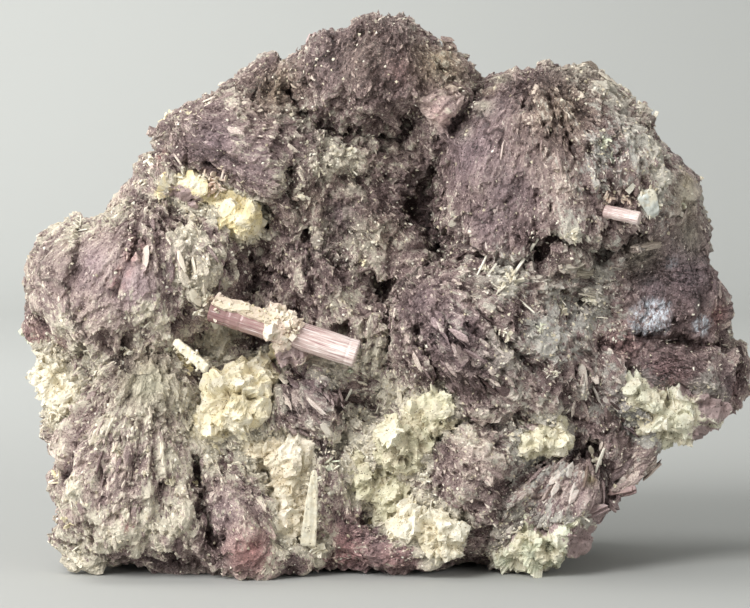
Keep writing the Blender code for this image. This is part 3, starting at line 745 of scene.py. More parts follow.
def mica_relief_tree(material):
    """Raises the sheets of each fan, with crests along them, steps across them, lumps, grains and pits."""
    tree, entry = geometry_tree(
        "mica_relief",
        crest_height=1.6, rib_height=1.2, shingle_length=5.5, shingle_height=1.3,
        cell_height=1.2, lump_height=3.6, grain_height=1.1, crumb_height=0.8, pit_depth=2.2,
    )
    size = entry.outputs
    streak = stored(tree, "streak", "FLOAT_VECTOR")
    reach = stored(tree, "reach")
    streaky = stored(tree, "streaky")
    grainy = stored(tree, "grainy")
    place = in_mm(tree)

    # Streaks along the sheets, stronger in the streaky patches
    crest = ridge(tree, streak_noise(tree, streak, reach, 0.11, 0.035, roughness=0.5))
    rib = ridge(tree, streak_noise(tree, streak, reach, 0.34, 0.07))
    height = summed(tree, times(tree, crest, size["crest_height"]), (rib, size["rib_height"]))
    height = times(tree, height, summed(tree, 1.0, (streaky, 0.8)))

    # Steps across the sheets, where each one ends, and cells of their own height. The streaky patches have
    # less of both.
    ragged = streak_noise(tree, streak, reach, 0.28, 0.08)
    turns = math_node(tree, "DIVIDE", reach, size["shingle_length"])
    turns = summed(tree, turns, (ragged, 3.0), (noise_node(tree, place, 0.09), 5.0))
    shingle = minus(tree, math_node(tree, "FRACT", turns), 0.5)
    cells = {"Vector": streak, "Scale": 0.36, "W": times(tree, reach, 0.17)}
    cells = node(tree, "ShaderNodeTexVoronoi", cells, voronoi_dimensions="4D").outputs["Color"]
    cell = minus(tree, node(tree, "ShaderNodeSeparateXYZ", {0: cells}).outputs[0], 0.5)
    broken = summed(tree, times(tree, shingle, size["shingle_height"]), (cell, size["cell_height"]))
    unstreaked = summed(tree, 1.0, (streaky, -0.5))
    height = summed(tree, height, (broken, unstreaked))

    # The violet, grainy and smooth patches are calmer
    smooth = summed(tree, 1.0, (stored(tree, "smooth"), -0.75), clamp=True)
    calm = summed(tree, 1.0, (stored(tree, "violet"), -0.3), clamp=True)
    calm = times(tree, times(tree, calm, summed(tree, 1.0, (grainy, -0.5))), smooth)
    height = times(tree, height, calm)

    # Lumps a centimetre across, grains, crumbs of frosting and pits
    lump = minus(tree, noise_node(tree, place, 0.11, 3, 0.6), 0.5)
    lump = times(tree, times(tree, lump, summed(tree, 0.6, (smooth, 0.4))), unstreaked)
    grain = node(tree, "ShaderNodeTexVoronoi", {"Vector": place, "Scale": 0.42}).outputs["Distance"]
    grain = times(tree, minus(tree, 0.5, grain), summed(tree, 0.25, (grainy, 1.0)))
    crumb = minus(tree, noise_node(tree, place, 0.6, 2, 0.7), 0.5)
    crumb = times(tree, crumb, summed(tree, 0.7, (stored(tree, "frost"), 2.0)))
    crumb = times(tree, crumb, times(tree, smooth, unstreaked))
    pit = smooth_step(tree, streak_noise(tree, streak, reach, 0.4, 0.22, detail=3), 0.44, 0.34)
    height = summed(
        tree, height, (lump, size["lump_height"]), (grain, size["grain_height"]),
        (crumb, size["crumb_height"]), (times(tree, pit, calm), times(tree, size["pit_depth"], -1.0)),
    )
    body = keep_on_points(tree, size[0], "rise", height)
    finish_tree(tree, raised_by(tree, body, height), material)
    return tree


# Colours of the mica, from its dark crevices to its pearly edges, and of what stains or dusts it
MICA_TONES = (
    (0.0, (0.048, 0.027, 0.023)),
    (0.3, (0.181, 0.122, 0.117)),
    (0.55, (0.305, 0.223, 0.209)),
    (0.8, (0.491, 0.381, 0.332)),
    (1.0, (0.730, 0.617, 0.527)),
)
STAINS = (
    ("violet", (0.262, 0.187, 0.200), 0.75),
    ("pink", (0.392, 0.196, 0.182), 0.85),
    ("ochre", (0.300, 0.230, 0.115), 0.65),
    ("grey", (0.318, 0.296, 0.222), 0.8),
)
FROST_COLOUR = (0.74, 0.68, 0.54)
COOL_FROST = (0.57, 0.56, 0.52)
# Painted glare: the blue-white that silvery mica sheets reflect, painted into their colour
SILVER_GLARE_COLOUR = (0.80, 0.86, 0.93)
# Shares by which marks shift the mica's tone: cleft darkens the clefts and rise darkens the hollows of the
# relief and lightens its crests, as painted shade and painted highlight; dark and light are partly the
# mica's own tone and partly painted shade and painted light
TONE_SHARES = (("cleft", -0.35), ("dark", -0.22), ("light", 0.20), ("rise", 0.16))


def shader_group(name, inputs, outputs):
    """A new shader group with its input and output nodes. Its sockets are given with the kind of each."""
    group = bpy.data.node_groups.new(name, "ShaderNodeTree")
    for way, sockets in (("INPUT", inputs), ("OUTPUT", outputs)):
        for label, kind in sockets.items():
            group.interface.new_socket(label, in_out=way, socket_type="NodeSocket" + kind)
    return group, group.nodes.new("NodeGroupInput"), group.nodes.new("NodeGroupOutput")


def mixed(tree, share, first, second, blend="MIX"):
    inputs = {0: share, 6: first, 7: second}
    return node(tree, "ShaderNodeMix", inputs, data_type="RGBA", blend_type=blend).outputs[2]


def opaque(colour):
    return (*colour, 1)


def ramp_node(tree, value, stops):
    made = node(tree, "ShaderNodeValToRGB", {0: value})
    ramp = made.color_ramp
    while len(ramp.elements) < len(stops):
        ramp.elements.new(0.5)
    for element, (position, colour) in zip(ramp.elements, stops):
        element.position = position
        element.color = opaque(colour)
    return made.outputs[0]


def mark(tree, name):
    """A value stored on the piece, read by a material."""
    return node(tree, "ShaderNodeAttribute", attribute_name=name).outputs["Fac"]


def object_mm(tree):
    return scaled(tree, node(tree, "ShaderNodeTexCoord").outputs["Object"], 1 / MM)


def mica_colour_group():
    """Colour and roughness of mica at one tone, with the stains and frost of its patch, painted shade in its
    clefts and hollows, painted light and shade in its patches and a painted silver glare.
    """
    group, entry, leave = shader_group(
        "mica_colour", {"Tone": "Float", "Dust": "Float"}, {"Colour": "Color", "Roughness": "Float"}
    )
    shades = [(mark(group, name), share) for name, share in TONE_SHARES]
    tone = summed(group, entry.outputs["Tone"], *shades, clamp=True)
    colour = ramp_node(group, tone, MICA_TONES)
    for name, stain, most in STAINS:
        stained = scaled(group, stain, summed(group, 0.1, (tone, 1.7)))
        colour = mixed(group, times(group, mark(group, name), most, clamp=True), colour, stained)
    frost = mixed(group, mark(group, "cool"), opaque(FROST_COLOUR), opaque(COOL_FROST))
    dust = times(group, entry.outputs["Dust"], summed(group, 0.88, (mark(group, "dark"), -0.5)), clamp=True)
    colour = mixed(group, dust, colour, scaled(group, frost, summed(group, 0.55, (tone, 0.6))))
    # A painted glare of silver in upright streaks, where the mica's sheets would throw back the light
    drawn_out = vector_node(group, "MULTIPLY", object_mm(group), (1.0, 1.0, 0.4))
    flash = smooth_step(group, noise_node(group, drawn_out, 1.2, 5, 0.9), 0.42, 0.62)
    silver_glare = times(group, smooth_step(group, mark(group, "silver_glare"), 0.2, 0.7), flash)
    colour = mixed(group, silver_glare, colour, opaque(SILVER_GLARE_COLOUR))
    rough = summed(
        group, 0.45, (entry.outputs["Dust"], 0.3), (mark(group, "violet"), -0.1), (silver_glare, -0.2),
        (mark(group, "smooth"), -0.14),
    )
    group.links.new(colour, leave.inputs["Colour"])
    group.links.new(rough, leave.inputs["Roughness"])
    return group


def fleck_group():
    """Marks a few tiny cells of a surface, for painted glints on the flakes and painted shade in the
    pinholes between them.
    """
    group, entry, leave = shader_group(
        "flecks", {"Size": "Float", "Share": "Float"}, {"Glint": "Float", "PinholeShade": "Float"}
    )
    scale = math_node(group, "DIVIDE", 1.0, entry.outputs["Size"])
    cells = node(group, "ShaderNodeTexVoronoi", {"Vector": object_mm(group), "Scale": scale})
    chance = node(group, "ShaderNodeSeparateXYZ", {0: cells.outputs["Color"]})
    near = smooth_step(group, cells.outputs["Distance"], 0.55, 0.35)
    least = minus(group, 1.0, entry.outputs["Share"])
    for index, label in enumerate(("Glint", "PinholeShade")):
        chosen = math_node(group, "GREATER_THAN", chance.outputs[index], least)
        group.links.new(times(group, chosen, near), leave.inputs[label])
    return group


FLECK_SIZE = 0.34
MICA_FLECKS = 0.14
mica_colour = mica_colour_group()
flecks = fleck_group()


def new_material(name):
    made = bpy.data.materials.new(name)
    made.use_nodes = True
    return made, made.node_tree, made.node_tree.nodes["Principled BSDF"]


def roughen(tree, shader, height, strength, depth):
    """Gives a material a fine relief of this depth in mm."""
    bump = {"Height": height, "Strength": strength, "Distance": depth * MM}
    tree.links.new(node(tree, "ShaderNodeBump", bump).outputs[0], shader.inputs["Normal"])


def coloured_as_mica(tree, shader, tone, dust):
    colour = node(tree, "ShaderNodeGroup", {"Tone": tone, "Dust": dust}, node_tree=mica_colour)
    tree.links.new(colour.outputs["Colour"], shader.inputs["Base Color"])
    tree.links.new(colour.outputs["Roughness"], shader.inputs["Roughness"])


def mica_material():
    """Massive mica: streaked along its fans, with painted shade in its crevices, painted sheen and glints,
    speckled with frosting.
    """
    made, tree, shader = new_material("mica")
    place = object_mm(tree)
    streak = node(tree, "ShaderNodeAttribute", attribute_name="streak").outputs["Vector"]
    reach = mark(tree, "reach")
    smooth = mark(tree, "smooth")
    fine = streak_noise(tree, streak, reach, 1.1, 0.35, 4, 0.7)
    grain = noise_node(tree, place, 1.9, 4, 0.8)
    tone = times(tree, noise_node(tree, place, 0.25, 3, 0.6), 0.6)
    tone = minus(tree, summed(tree, tone, (fine, 1.2), (grain, 1.85)), 1.37, clamp=True)
    streaks = times(tree, minus(tree, fine, 0.5), mark(tree, "streaky"))
    tone = summed(tree, tone, (streaks, 1.6))

    # The smooth patches are of one tone, with a painted sheen of fine hairs along their sheets that also
    # shows in their relief
    even = times(tree, minus(tree, 0.5, tone), smooth)
    hair = streak_noise(tree, streak, reach, 2.4, 0.2, 3, 0.7)
    sheen = times(tree, minus(tree, hair, 0.5), smooth)

    # The layered patches are striped by the edges of their sheets, which lie nearly level
    warped = scaled(tree, noise_node(tree, place, 0.12, output="Color"), 9.0)
    warped = vector_node(tree, "MULTIPLY", vector_node(tree, "ADD", place, warped), (0.14, 0.14, 1.5))
    layers = minus(tree, noise_node(tree, warped, 1.0, 3, 0.7), 0.5)
    layers = times(tree, layers, mark(tree, "layered"))

    fleck = {"Size": FLECK_SIZE, "Share": MICA_FLECKS}
    fleck = node(tree, "ShaderNodeGroup", fleck, node_tree=flecks).outputs
    tone = summed(tree, tone, (even, 0.6), (sheen, 1.7), (layers, 2.4))
    # Painted glints lighten a few tiny cells and painted shade darkens the pinholes among them
    tone = summed(tree, tone, (fleck["Glint"], 0.42), (fleck["PinholeShade"], -0.45))
    dust = streak_noise(tree, streak, reach, 1.0, 0.3, 5, 0.75)
    dust = summed(tree, dust, (smooth, -0.09), (mark(tree, "frost"), 0.25), (mark(tree, "rise"), 0.045))
    coloured_as_mica(tree, shader, tone, smooth_step(tree, dust, 0.53, 0.66))
    relief = summed(tree, fine, (grain, summed(tree, 0.9, (smooth, -0.6))))
    relief = summed(tree, math_node(tree, "ADD", relief, sheen), (layers, 3.0))
    roughen(tree, shader, relief, strength=0.95, depth=0.85)
    return made


mica = mica_material()
lump_mesh = shaped_by(mica_relief_tree(mica), body_mesh, "lepidolite_lump")


def placed(mesh, name, slot_name, *nodes):
    """Makes a mesh a finished piece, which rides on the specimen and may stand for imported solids."""
    piece = bpy.data.objects.new(name, mesh)
    bpy.context.scene.collection.objects.link(piece)
    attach(piece, "root")
    if nodes:
        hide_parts(*nodes)


lump_places = points_of(lump_mesh)
lump_places[:, 2] = lump_places[:, 2].clip(0)
move_points(lump_mesh, lump_places)
placed(lump_mesh, "lepidolite_lump", "lepidolite", "lepidolite_mass")
lump_tree = tree_of(lump_mesh)


# Scales and plates. Single sheets of mica lie on the lobes like shingles, with their free ends turned away
# from the pole of their fan: scattered large scales, long ones in the streaky patches, and small plates
# nearly everywhere, each catching its own light.
PLATE_SHAPES = 6
HIDDEN_SHARE = 0.4
SIDE_FACING = 3
REST_GAP = 1.5 * MM
# How much of the scales and plates each kind of patch takes away, and how many more scales streaky ones get
SMOOTH_LOSS = 0.9
GRAINY_LOSS = 0.8
FROST_LOSS = 0.8
STREAKY_LOSS = 0.45
STREAKY_GAIN = 3

lump_facing = (normals_of(lump_mesh) @ np.array(to_eye) * SIDE_FACING + 0.5).clip(0, 1)
lump_raised = lump_places[:, 2] > REST_GAP


def close_band(shape, low, high):
    """Closes the wall between two rings of points."""
    for index in range(len(low)):
        after = (index + 1) % len(low)
        shape.faces.new((low[index], low[after], high[after], high[index]))


def close_fan(shape, rim, hub):
    """Closes the face between a ring of points and the point in its middle."""
    for index in range(len(rim)):
        shape.faces.new((rim[index], rim[(index + 1) % len(rim)], hub))


def plate_shape(name, sides, width, thickness, ragged, flat):
    """A closed plate of length 1 along X, with an uneven outline. Flat is the share that its top takes."""
    shape = bmesh.new()
    angles = [math.tau * (index + dice.uniform(-0.25, 0.25)) / sides for index in range(sides)]
    reaches = [dice.uniform(1 - ragged, 1) for _ in angles]
    spots = [(0.5 * r * math.cos(a), 0.5 * width * r * math.sin(a)) for a, r in zip(angles, reaches)]
    rim = [shape.verts.new((x, y, 0)) for x, y in spots]
    below = shape.verts.new((0, 0, -thickness / 2))
    if flat:
        tilt = dice.uniform(-0.25, 0.25) * thickness
        top = [shape.verts.new((x * flat, y * flat, thickness / 2 + tilt * x)) for x, y in spots]
        close_band(shape, rim, top)
        shape.faces.new(top)
    else:
        spot = (dice.uniform(-0.15, 0.2), dice.uniform(-0.15, 0.15) * width, thickness / 2)
        close_fan(shape, rim, shape.verts.new(spot))
    for index in range(sides):
        shape.faces.new((rim[(index + 1) % sides], rim[index], below))
    return object_of(shape, name)


def shape_set(name, count, **sizes):
    """A collection of like shapes for scattering, each with its tip marked."""
    collection = bpy.data.collections.new(name)
    bpy.context.scene.collection.children.link(collection)
    for index in range(count):
        made = plate_shape(f"{name}_{index}", **sizes)
        bpy.context.scene.collection.objects.unlink(made)
        collection.objects.link(made)
        give(made.data, "tip", [vertex.co.x + 0.5 for vertex in made.data.vertices])
    return collection


def random_node(tree, low, high, seed):
    return node(tree, "FunctionNodeRandomValue", {2: low, 3: high, 8: seed}, data_type="FLOAT").outputs[1]


def scatter_tree(name, shapes, cover, material, **sizes):
    """Sets small plates over a mesh, by its cover value, with their long axis along its run."""
    tree, entry = geometry_tree(name, **sizes)
    size = entry.outputs
    amount = times(tree, stored(tree, cover), size["density"])
    spread = {"Mesh": size[0], "Density": amount, "Seed": size["seed"]}
    spread = node(tree, "GeometryNodeDistributePointsOnFaces", spread, distribute_method="RANDOM")
    points, normal = spread.outputs["Points"], spread.outputs["Normal"]
    points = keep_on_points(tree, points, "outward", normal, "FLOAT_VECTOR")
    points = keep_on_points(tree, points, "tint", random_node(tree, 0.0, 1.0, 11))
    outward = stored(tree, "outward", "FLOAT_VECTOR")
    run = stored(tree, "run", "FLOAT_VECTOR")
    across = vector_node(tree, "CROSS_PRODUCT", outward, run)
    calm = summed(tree, 1.0, (stored(tree, "violet"), -0.6), clamp=True)

    # How far the free end of each plate stands off, strays from the run of the sheets and rolls over
    lift = times(tree, times(tree, random_node(tree, -0.3, 1.0, 12), size["lift"]), calm)
    stray = summed(tree, size["stray"], (stored(tree, "grainy"), 1.5))
    stray = times(tree, random_node(tree, -1.0, 1.0, 13), stray)
    long_axis = vector_node(tree, "ADD", run, scaled(tree, outward, lift))
    long_axis = vector_node(tree, "ADD", long_axis, scaled(tree, across, stray))
    roll = times(tree, times(tree, random_node(tree, -1.0, 1.0, 14), size["roll"]), calm)
    flat = scaled(tree, outward, math_node(tree, "COSINE", roll))
    flat = vector_node(tree, "ADD", flat, scaled(tree, across, math_node(tree, "SINE", roll)))
    axes = {"Primary Axis": long_axis, "Secondary Axis": flat}
    turned = node(tree, "FunctionNodeAxesToRotation", axes, primary_axis="X", secondary_axis="Z").outputs[0]

    length = math_node(tree, "POWER", random_node(tree, 0.0, 1.0, 15), 1.6)
    length = summed(tree, size["smallest"], (length, minus(tree, size["largest"], size["smallest"])))
    width = times(tree, length, random_node(tree, 0.6, 1.9, 16))
    thick = times(tree, length, random_node(tree, 0.7, 1.4, 17))
    scale = node(tree, "ShaderNodeCombineXYZ", {0: length, 1: width, 2: thick}).outputs[0]
    sink = scaled(tree, outward, times(tree, size["sunk"], -1.0))
    points = node(tree, "GeometryNodeSetPosition", {"Geometry": points, "Offset": sink}).outputs[0]
    chosen = {"Collection": shapes, "Separate Children": True, "Reset Children": True}
    chosen = node(tree, "GeometryNodeCollectionInfo", chosen).outputs[0]
    laid = {"Points": points, "Instance": chosen, "Pick Instance": True, "Rotation": turned, "Scale": scale}
    finish_tree(tree, node(tree, "GeometryNodeInstanceOnPoints", laid).outputs[0], material)
    return tree


def scattered(tree, name, slot_name, **sizes):
    """Makes a piece of the plates that a tree sets over the lump."""
    placed(shaped_by(tree, lump_mesh.copy(), name, **sizes), name, slot_name)


def plate_material():
    """Loose mica plates: each with its own tone, paler towards its tip, and now and then dusted white."""
    made, tree, shader = new_material("mica_plates")
    place = object_mm(tree)
    tint = mark(tree, "tint")
    grain = noise_node(tree, place, 3.0, 3, 0.8)
    tone = times(tree, noise_node(tree, place, 0.25, 3, 0.6), 0.6)
    tone = summed(tree, tone, (tint, 1.0), (mark(tree, "tip"), 0.2), (grain, 1.65))
    tone = minus(tree, tone, 1.155, clamp=True)
    dust = times(tree, grain, 0.9)
    dust = summed(tree, dust, (tint, 0.4), (mark(tree, "frost"), 0.45), (mark(tree, "rise"), 0.06))
    coloured_as_mica(tree, shader, tone, smooth_step(tree, dust, 0.78, 1.02))
    roughen(tree, shader, grain, strength=0.7, depth=0.35)
    return made


mica_plates = plate_material()
scales = shape_set("scale", PLATE_SHAPES, sides=7, width=0.33, thickness=0.14, ragged=0.35, flat=0.75)
plates = shape_set("plate", PLATE_SHAPES, sides=4, width=0.30, thickness=0.20, ragged=0.35, flat=0)
rough_share = 1 - SMOOTH_LOSS * patches["smooth"].clip(0, 1)
seen_share = (HIDDEN_SHARE + (1 - HIDDEN_SHARE) * lump_facing) * lump_raised
streaked = patches["streaky"].clip(0, 1)
give(lump_mesh, "plate_cover", seen_share * rough_share * (1 - STREAKY_LOSS * streaked))
bare_share = 1 - FROST_LOSS * patches["frost"].clip(0, 1)
smooth_share = rough_share * (1 - GRAINY_LOSS * patches["grainy"].clip(0, 1))
give(lump_mesh, "scale_cover", seen_share * smooth_share * bare_share * (1 + STREAKY_GAIN * streaked))
scale_tree = scatter_tree(
    "mica_scales", scales, "scale_cover", mica_plates,
    density=0.02e6, smallest=2.2 * MM, largest=4.5 * MM,
    lift=0.2, stray=0.3, roll=0.8, sunk=0.3 * MM, seed=21,
)
scattered(scale_tree, "mica_scales", "lepidolite")
long_shape = {"sides": 7, "width": 0.26, "thickness": 0.10, "ragged": 0.35, "flat": 0.7}
long_scales = shape_set("long_scale", PLATE_SHAPES, **long_shape)
give(lump_mesh, "long_cover", seen_share * streaked * rough_share ** 2)
long_tree = scatter_tree(
    "mica_streaks", long_scales, "long_cover", mica_plates,
    density=0.2e6, smallest=2.2 * MM, largest=7.5 * MM,
    lift=0.14, stray=0.16, roll=1.0, sunk=0.2 * MM, seed=41,
)
scattered(long_tree, "mica_streaks", "lepidolite")
plate_tree = scatter_tree(
    "mica_plates", plates, "plate_cover", mica_plates,
    density=0.45e6, smallest=0.7 * MM, largest=2.7 * MM,
    lift=0.3, stray=0.5, roll=1.2, sunk=0.1 * MM, seed=1,
)
for part in range(2):
    scattered(plate_tree, f"mica_plates_{part}", "lepidolite", seed=part + 1)


# Frosting. Tiny white plates of albite dust the mica, thickly in some hollows and thinly everywhere else.
# They have grown in place, at every angle, and leave small dark gaps between them like a coarse sponge.
FROST_SHAPES = 4
FROST_EVERYWHERE = 0.28
FROST_PATCHES = 1.6
FROST_GATHERING = 1.5
FROST_HIDDEN = 0.35
VIOLET_LOSS = 0.5
DARK_LOSS = 0.6
ALBITE_TONES = (
    (0.0, (0.16, 0.12, 0.10)),
    (0.3, (0.44, 0.37, 0.26)),
    (0.6, (0.68, 0.61, 0.45)),
    (1.0, (0.79, 0.75, 0.64)),
)
ALBITE_STAINS = (
    ("yellow", (0.83, 0.70, 0.38), 0.7),
    ("green", (0.66, 0.70, 0.54), 0.8),
    ("peach", (0.80, 0.61, 0.50), 0.8),
    ("clear", (0.67, 0.69, 0.63), 0.9),
)
BARE_MICA = (0.27, 0.20, 0.19)


def albite_colour_group():
    """Colour of albite at one tone, with the tint of its place and the mica that shows where it is thin."""
    group, entry, leave = shader_group("albite_colour", {"Tone": "Float"}, {"Colour": "Color"})
    tone = entry.outputs["Tone"]
    place = object_mm(group)
    colour = ramp_node(group, tone, ALBITE_TONES)
    patchy = smooth_step(group, noise_node(group, place, 0.3, 3, 0.6), 0.38, 0.62)
    patchy = summed(group, 0.4, (patchy, 1.2))
    for name, stain, most in ALBITE_STAINS:
        share = times(group, times(group, mark(group, name), most), patchy, clamp=True)
        colour = mixed(group, share, colour, scaled(group, stain, summed(group, 0.2, (tone, 0.9))))
    thin = summed(group, mark(group, "bare"), (noise_node(group, place, 0.7, 4, 0.7), 1.4))
    thin = smooth_step(group, thin, 1.15, 1.35)
    bare = scaled(group, BARE_MICA, summed(group, 0.1, (tone, 1.4)))
    group.links.new(mixed(group, thin, colour, bare), leave.inputs["Colour"])
    return group


albite_colour = albite_colour_group()


def albite_material(name, *, scale, base_tone, tint_share, roughness, relief, pinhole_shade_share):
    """Albite with a tone for each blade, a grain of this scale per mm and a relief of this depth in mm."""
    made, tree, shader = new_material(name)
    grain = noise_node(tree, object_mm(tree), scale, 4, 0.7)
    fleck = {"Size": FLECK_SIZE, "Share": pinhole_shade_share}
    fleck = node(tree, "ShaderNodeGroup", fleck, node_tree=flecks).outputs["PinholeShade"]
    # Painted shade darkens the pinholes among the grains
    tone = summed(tree, base_tone - 0.55, (grain, 1.1), (mark(tree, "tint"), tint_share), (fleck, -0.6))
    tone = minus(tree, tone, tint_share / 2, clamp=True)
    colour = node(tree, "ShaderNodeGroup", {0: tone}, node_tree=albite_colour)
    tree.links.new(colour.outputs[0], shader.inputs["Base Color"])
    shader.inputs["Roughness"].default_value = roughness
    roughen(tree, shader, grain, strength=0.7, depth=relief)
    return made


frost_material = albite_material(
    "albite_frosting", scale=1.2, base_tone=0.71, tint_share=0.7, roughness=0.5, relief=0.2, pinhole_shade_share=0.05
)
frosting = shape_set("frost_grain", FROST_SHAPES, sides=4, width=0.6, thickness=0.3, ragged=0.35, flat=0)
off_violet = 1 - VIOLET_LOSS * patches["violet"].clip(0, 1)
off_dark = 1 - DARK_LOSS * patches["dark"].clip(0, 1)
frost_cover = FROST_EVERYWHERE * off_violet * off_dark
frost_cover = frost_cover + FROST_PATCHES * patches["frost"].clip(0, 1) ** FROST_GATHERING
frost_seen = FROST_HIDDEN + (1 - FROST_HIDDEN) * lump_facing
give(lump_mesh, "frost_cover", frost_cover * frost_seen * rough_share * lump_raised)
frost_tree = scatter_tree(
    "frosting", frosting, "frost_cover", frost_material,
    density=0.76e6, smallest=0.35 * MM, largest=1.4 * MM,
    lift=0.9, stray=2.0, roll=1.5, sunk=0.0, seed=9,
)
scattered(frost_tree, "albite_frosting", "albite")


# Crusts. Albite grew over the mica in blocky cream lumps a centimetre or two across, of many thin blades
# that lie every way and stand out at the rims. Each crust sits in a seat of its own in the mica.
CRUST_GRAIN = 0.55 * MM
CRUST_SOFTENING = 2
CRUST_BLADE_SHAPES = 5
CRUST_WANDER = 4 * MM
CRUST_BACK = 0.5
INNER_BLADES = 0.15
BARE_LOSS = 0.7
BARE_SINK = 2 * MM
CRUST_TINTS = {
    "albite_centre": {"yellow": 0.45},
    "albite_middle": {"yellow": 0.35, "green": 0.3},
    "albite_foot": {"yellow": 0.1},
    "albite_left_edge": {"yellow": 0.1},
    "albite_upper_left": {"yellow": 0.75},
    "albite_right": {"green": 0.35},
    "albite_right_foot": {"green": 0.6, "yellow": 0.3},
    "albite_lower_right": {"yellow": 0.3, "green": 0.2},
    "albite_low_centre": {"yellow": 0.1, "peach": 0.15},
    "albite_collar": {"peach": 0.6},
}
PLAIN_BRIGHTNESS = 0.4
CRUST_BRIGHTNESS = {
    "albite_centre": 0.58,
    "albite_middle": 0.02,
    "albite_right": 0.1,
    "albite_left_edge": 0.6,
    "albite_upper_left": 0.6,
}

# Where the crusts are thin and the mica shows through them, in pixels: middle, radius and strength
CRUST_BARE = (
    ((180, 205), 24, 1.0), ((205, 225), 12, 0.6), ((660, 376), 18, 1.0), ((692, 384), 18, 1.0),
    ((718, 402), 26, 1.1), ((706, 436), 18, 1.0), ((498, 530), 22, 1.1), ((503, 436), 12, 0.7),
    ((532, 424), 10, 0.8), ((588, 545), 24, 1.2), ((545, 514), 22, 1.2), ((380, 525), 14, 0.4),
    ((630, 440), 12, 0.6), ((285, 362), 14, 1.2), ((300, 352), 12, 1.0),
)

crust_material = albite_material(
    "albite_crust", scale=1.3, base_tone=0.72, tint_share=0.45, roughness=0.5, relief=0.4, pinhole_shade_share=0.10
)


def crust_relief_tree():
    """Breaks a crust into leaning blocks with steps between them, roughens it, and lowers its tint where it
    is low, as painted shade in its hollows.
    """
    tree, entry = geometry_tree(
        "crust_relief", block_height=2.3, ledge_height=1.3, crumb_height=1.0, swelling=0.7, brightness=0.4
    )
    size = entry.outputs
    place = in_mm(tree)
    height = size["swelling"]
    for scale, step_height in ((0.19, size["block_height"]), (0.5, size["ledge_height"])):
        cells = node(tree, "ShaderNodeTexVoronoi", {"Vector": place, "Scale": scale})
        lean = vector_node(tree, "SUBTRACT", cells.outputs["Color"], (0.5, 0.5, 0.5))
        offset = vector_node(tree, "SUBTRACT", place, cells.outputs["Position"])
        slope = vector_node(tree, "DOT_PRODUCT", lean, offset, output="Value")
        slope = times(tree, slope, scale * 1.6)
        step = math_node(tree, "ADD", slope, node(tree, "ShaderNodeSeparateXYZ", {0: lean}).outputs[0])
        height = summed(tree, height, (step, step_height))
    crumb = minus(tree, noise_node(tree, place, 0.7, 3, 0.7), 0.5)
    height = summed(tree, height, (crumb, size["crumb_height"]))
    crust = keep_on_points(tree, size[0], "rise", height)
    # Its tint follows its height, so that its hollows are darker: painted shade
    crust = keep_on_points(tree, crust, "tint", summed(tree, size["brightness"], (height, 0.3)))
    finish_tree(tree, raised_by(tree, crust, height), crust_material)
    return tree


def joined(name, *meshes):
    """One mesh of several that share a material."""
    shape = bmesh.new()
    for mesh in meshes:
        shape.from_mesh(mesh)
    data = bpy.data.meshes.new(name)
    shape.to_mesh(data)
    shape.free()
    data.materials.append(meshes[0].materials[0])
    return data


crust_relief = crust_relief_tree()
crust_blade = {"sides": 4, "width": 0.5, "thickness": 0.16, "ragged": 0.4, "flat": 0}
crust_blades = shape_set("crust_blade", CRUST_BLADE_SHAPES, **crust_blade)
blade_tree = scatter_tree(
    "crust_blades", crust_blades, "blade_cover", crust_material,
    density=1.7e6, smallest=0.5 * MM, largest=1.7 * MM,
    lift=1.1, stray=1.6, roll=1.2, sunk=0.1 * MM, seed=31,
)
for crust_name, tints in CRUST_TINTS.items():
    crust_mesh = regrained(crust_name, CRUST_GRAIN, CRUST_SOFTENING)
    spots = points_of(crust_mesh)
    move_points(crust_mesh, spots + pushed_rim(spots, normals_of(crust_mesh)))
    brightness = CRUST_BRIGHTNESS.get(crust_name, PLAIN_BRIGHTNESS)
    crust_mesh = shaped_by(crust_relief, crust_mesh, crust_name + "_blocks", brightness=brightness)
    spots = points_of(crust_mesh)
    outward = normals_of(crust_mesh)
    away = spots - spots.mean(0) + wander_of(spots, CRUST_WANDER)
    away -= outward * (away * outward).sum(1)[:, None]
    give(crust_mesh, "run", unit(away))
    across, down = seen_at(spots)
    bare = np.zeros(len(spots))
    for middle, radius, strength in CRUST_BARE:
        bare = np.maximum(bare, strength * fading(across, down, middle, radius))
    give(crust_mesh, "bare", bare)
    spots -= np.array(to_eye) * (bare.clip(0, 1) ** 2)[:, None] * BARE_SINK
    spots[:, 2] = spots[:, 2].clip(0)
    move_points(crust_mesh, spots)
    rim = (1 - (outward @ np.array(to_eye)) ** 2) ** 2
    growing = (outward[:, 1] < CRUST_BACK) & (spots[:, 2] > REST_GAP)
    give(crust_mesh, "blade_cover", (INNER_BLADES + rim) * growing * (1 - BARE_LOSS * bare.clip(0, 1)))
    for tint, strength in tints.items():
        give(crust_mesh, tint, np.full(len(spots), strength))
    blade_mesh = shaped_by(blade_tree, crust_mesh.copy(), crust_name + "_blades")
    piece_name = crust_name + "_crust"
    placed(joined(piece_name, crust_mesh, blade_mesh), piece_name, "albite", crust_name)

for collection in (scales, long_scales, plates, frosting, crust_blades):
    for item in list(collection.objects):
        bpy.data.objects.remove(item)
    bpy.data.collections.remove(collection)


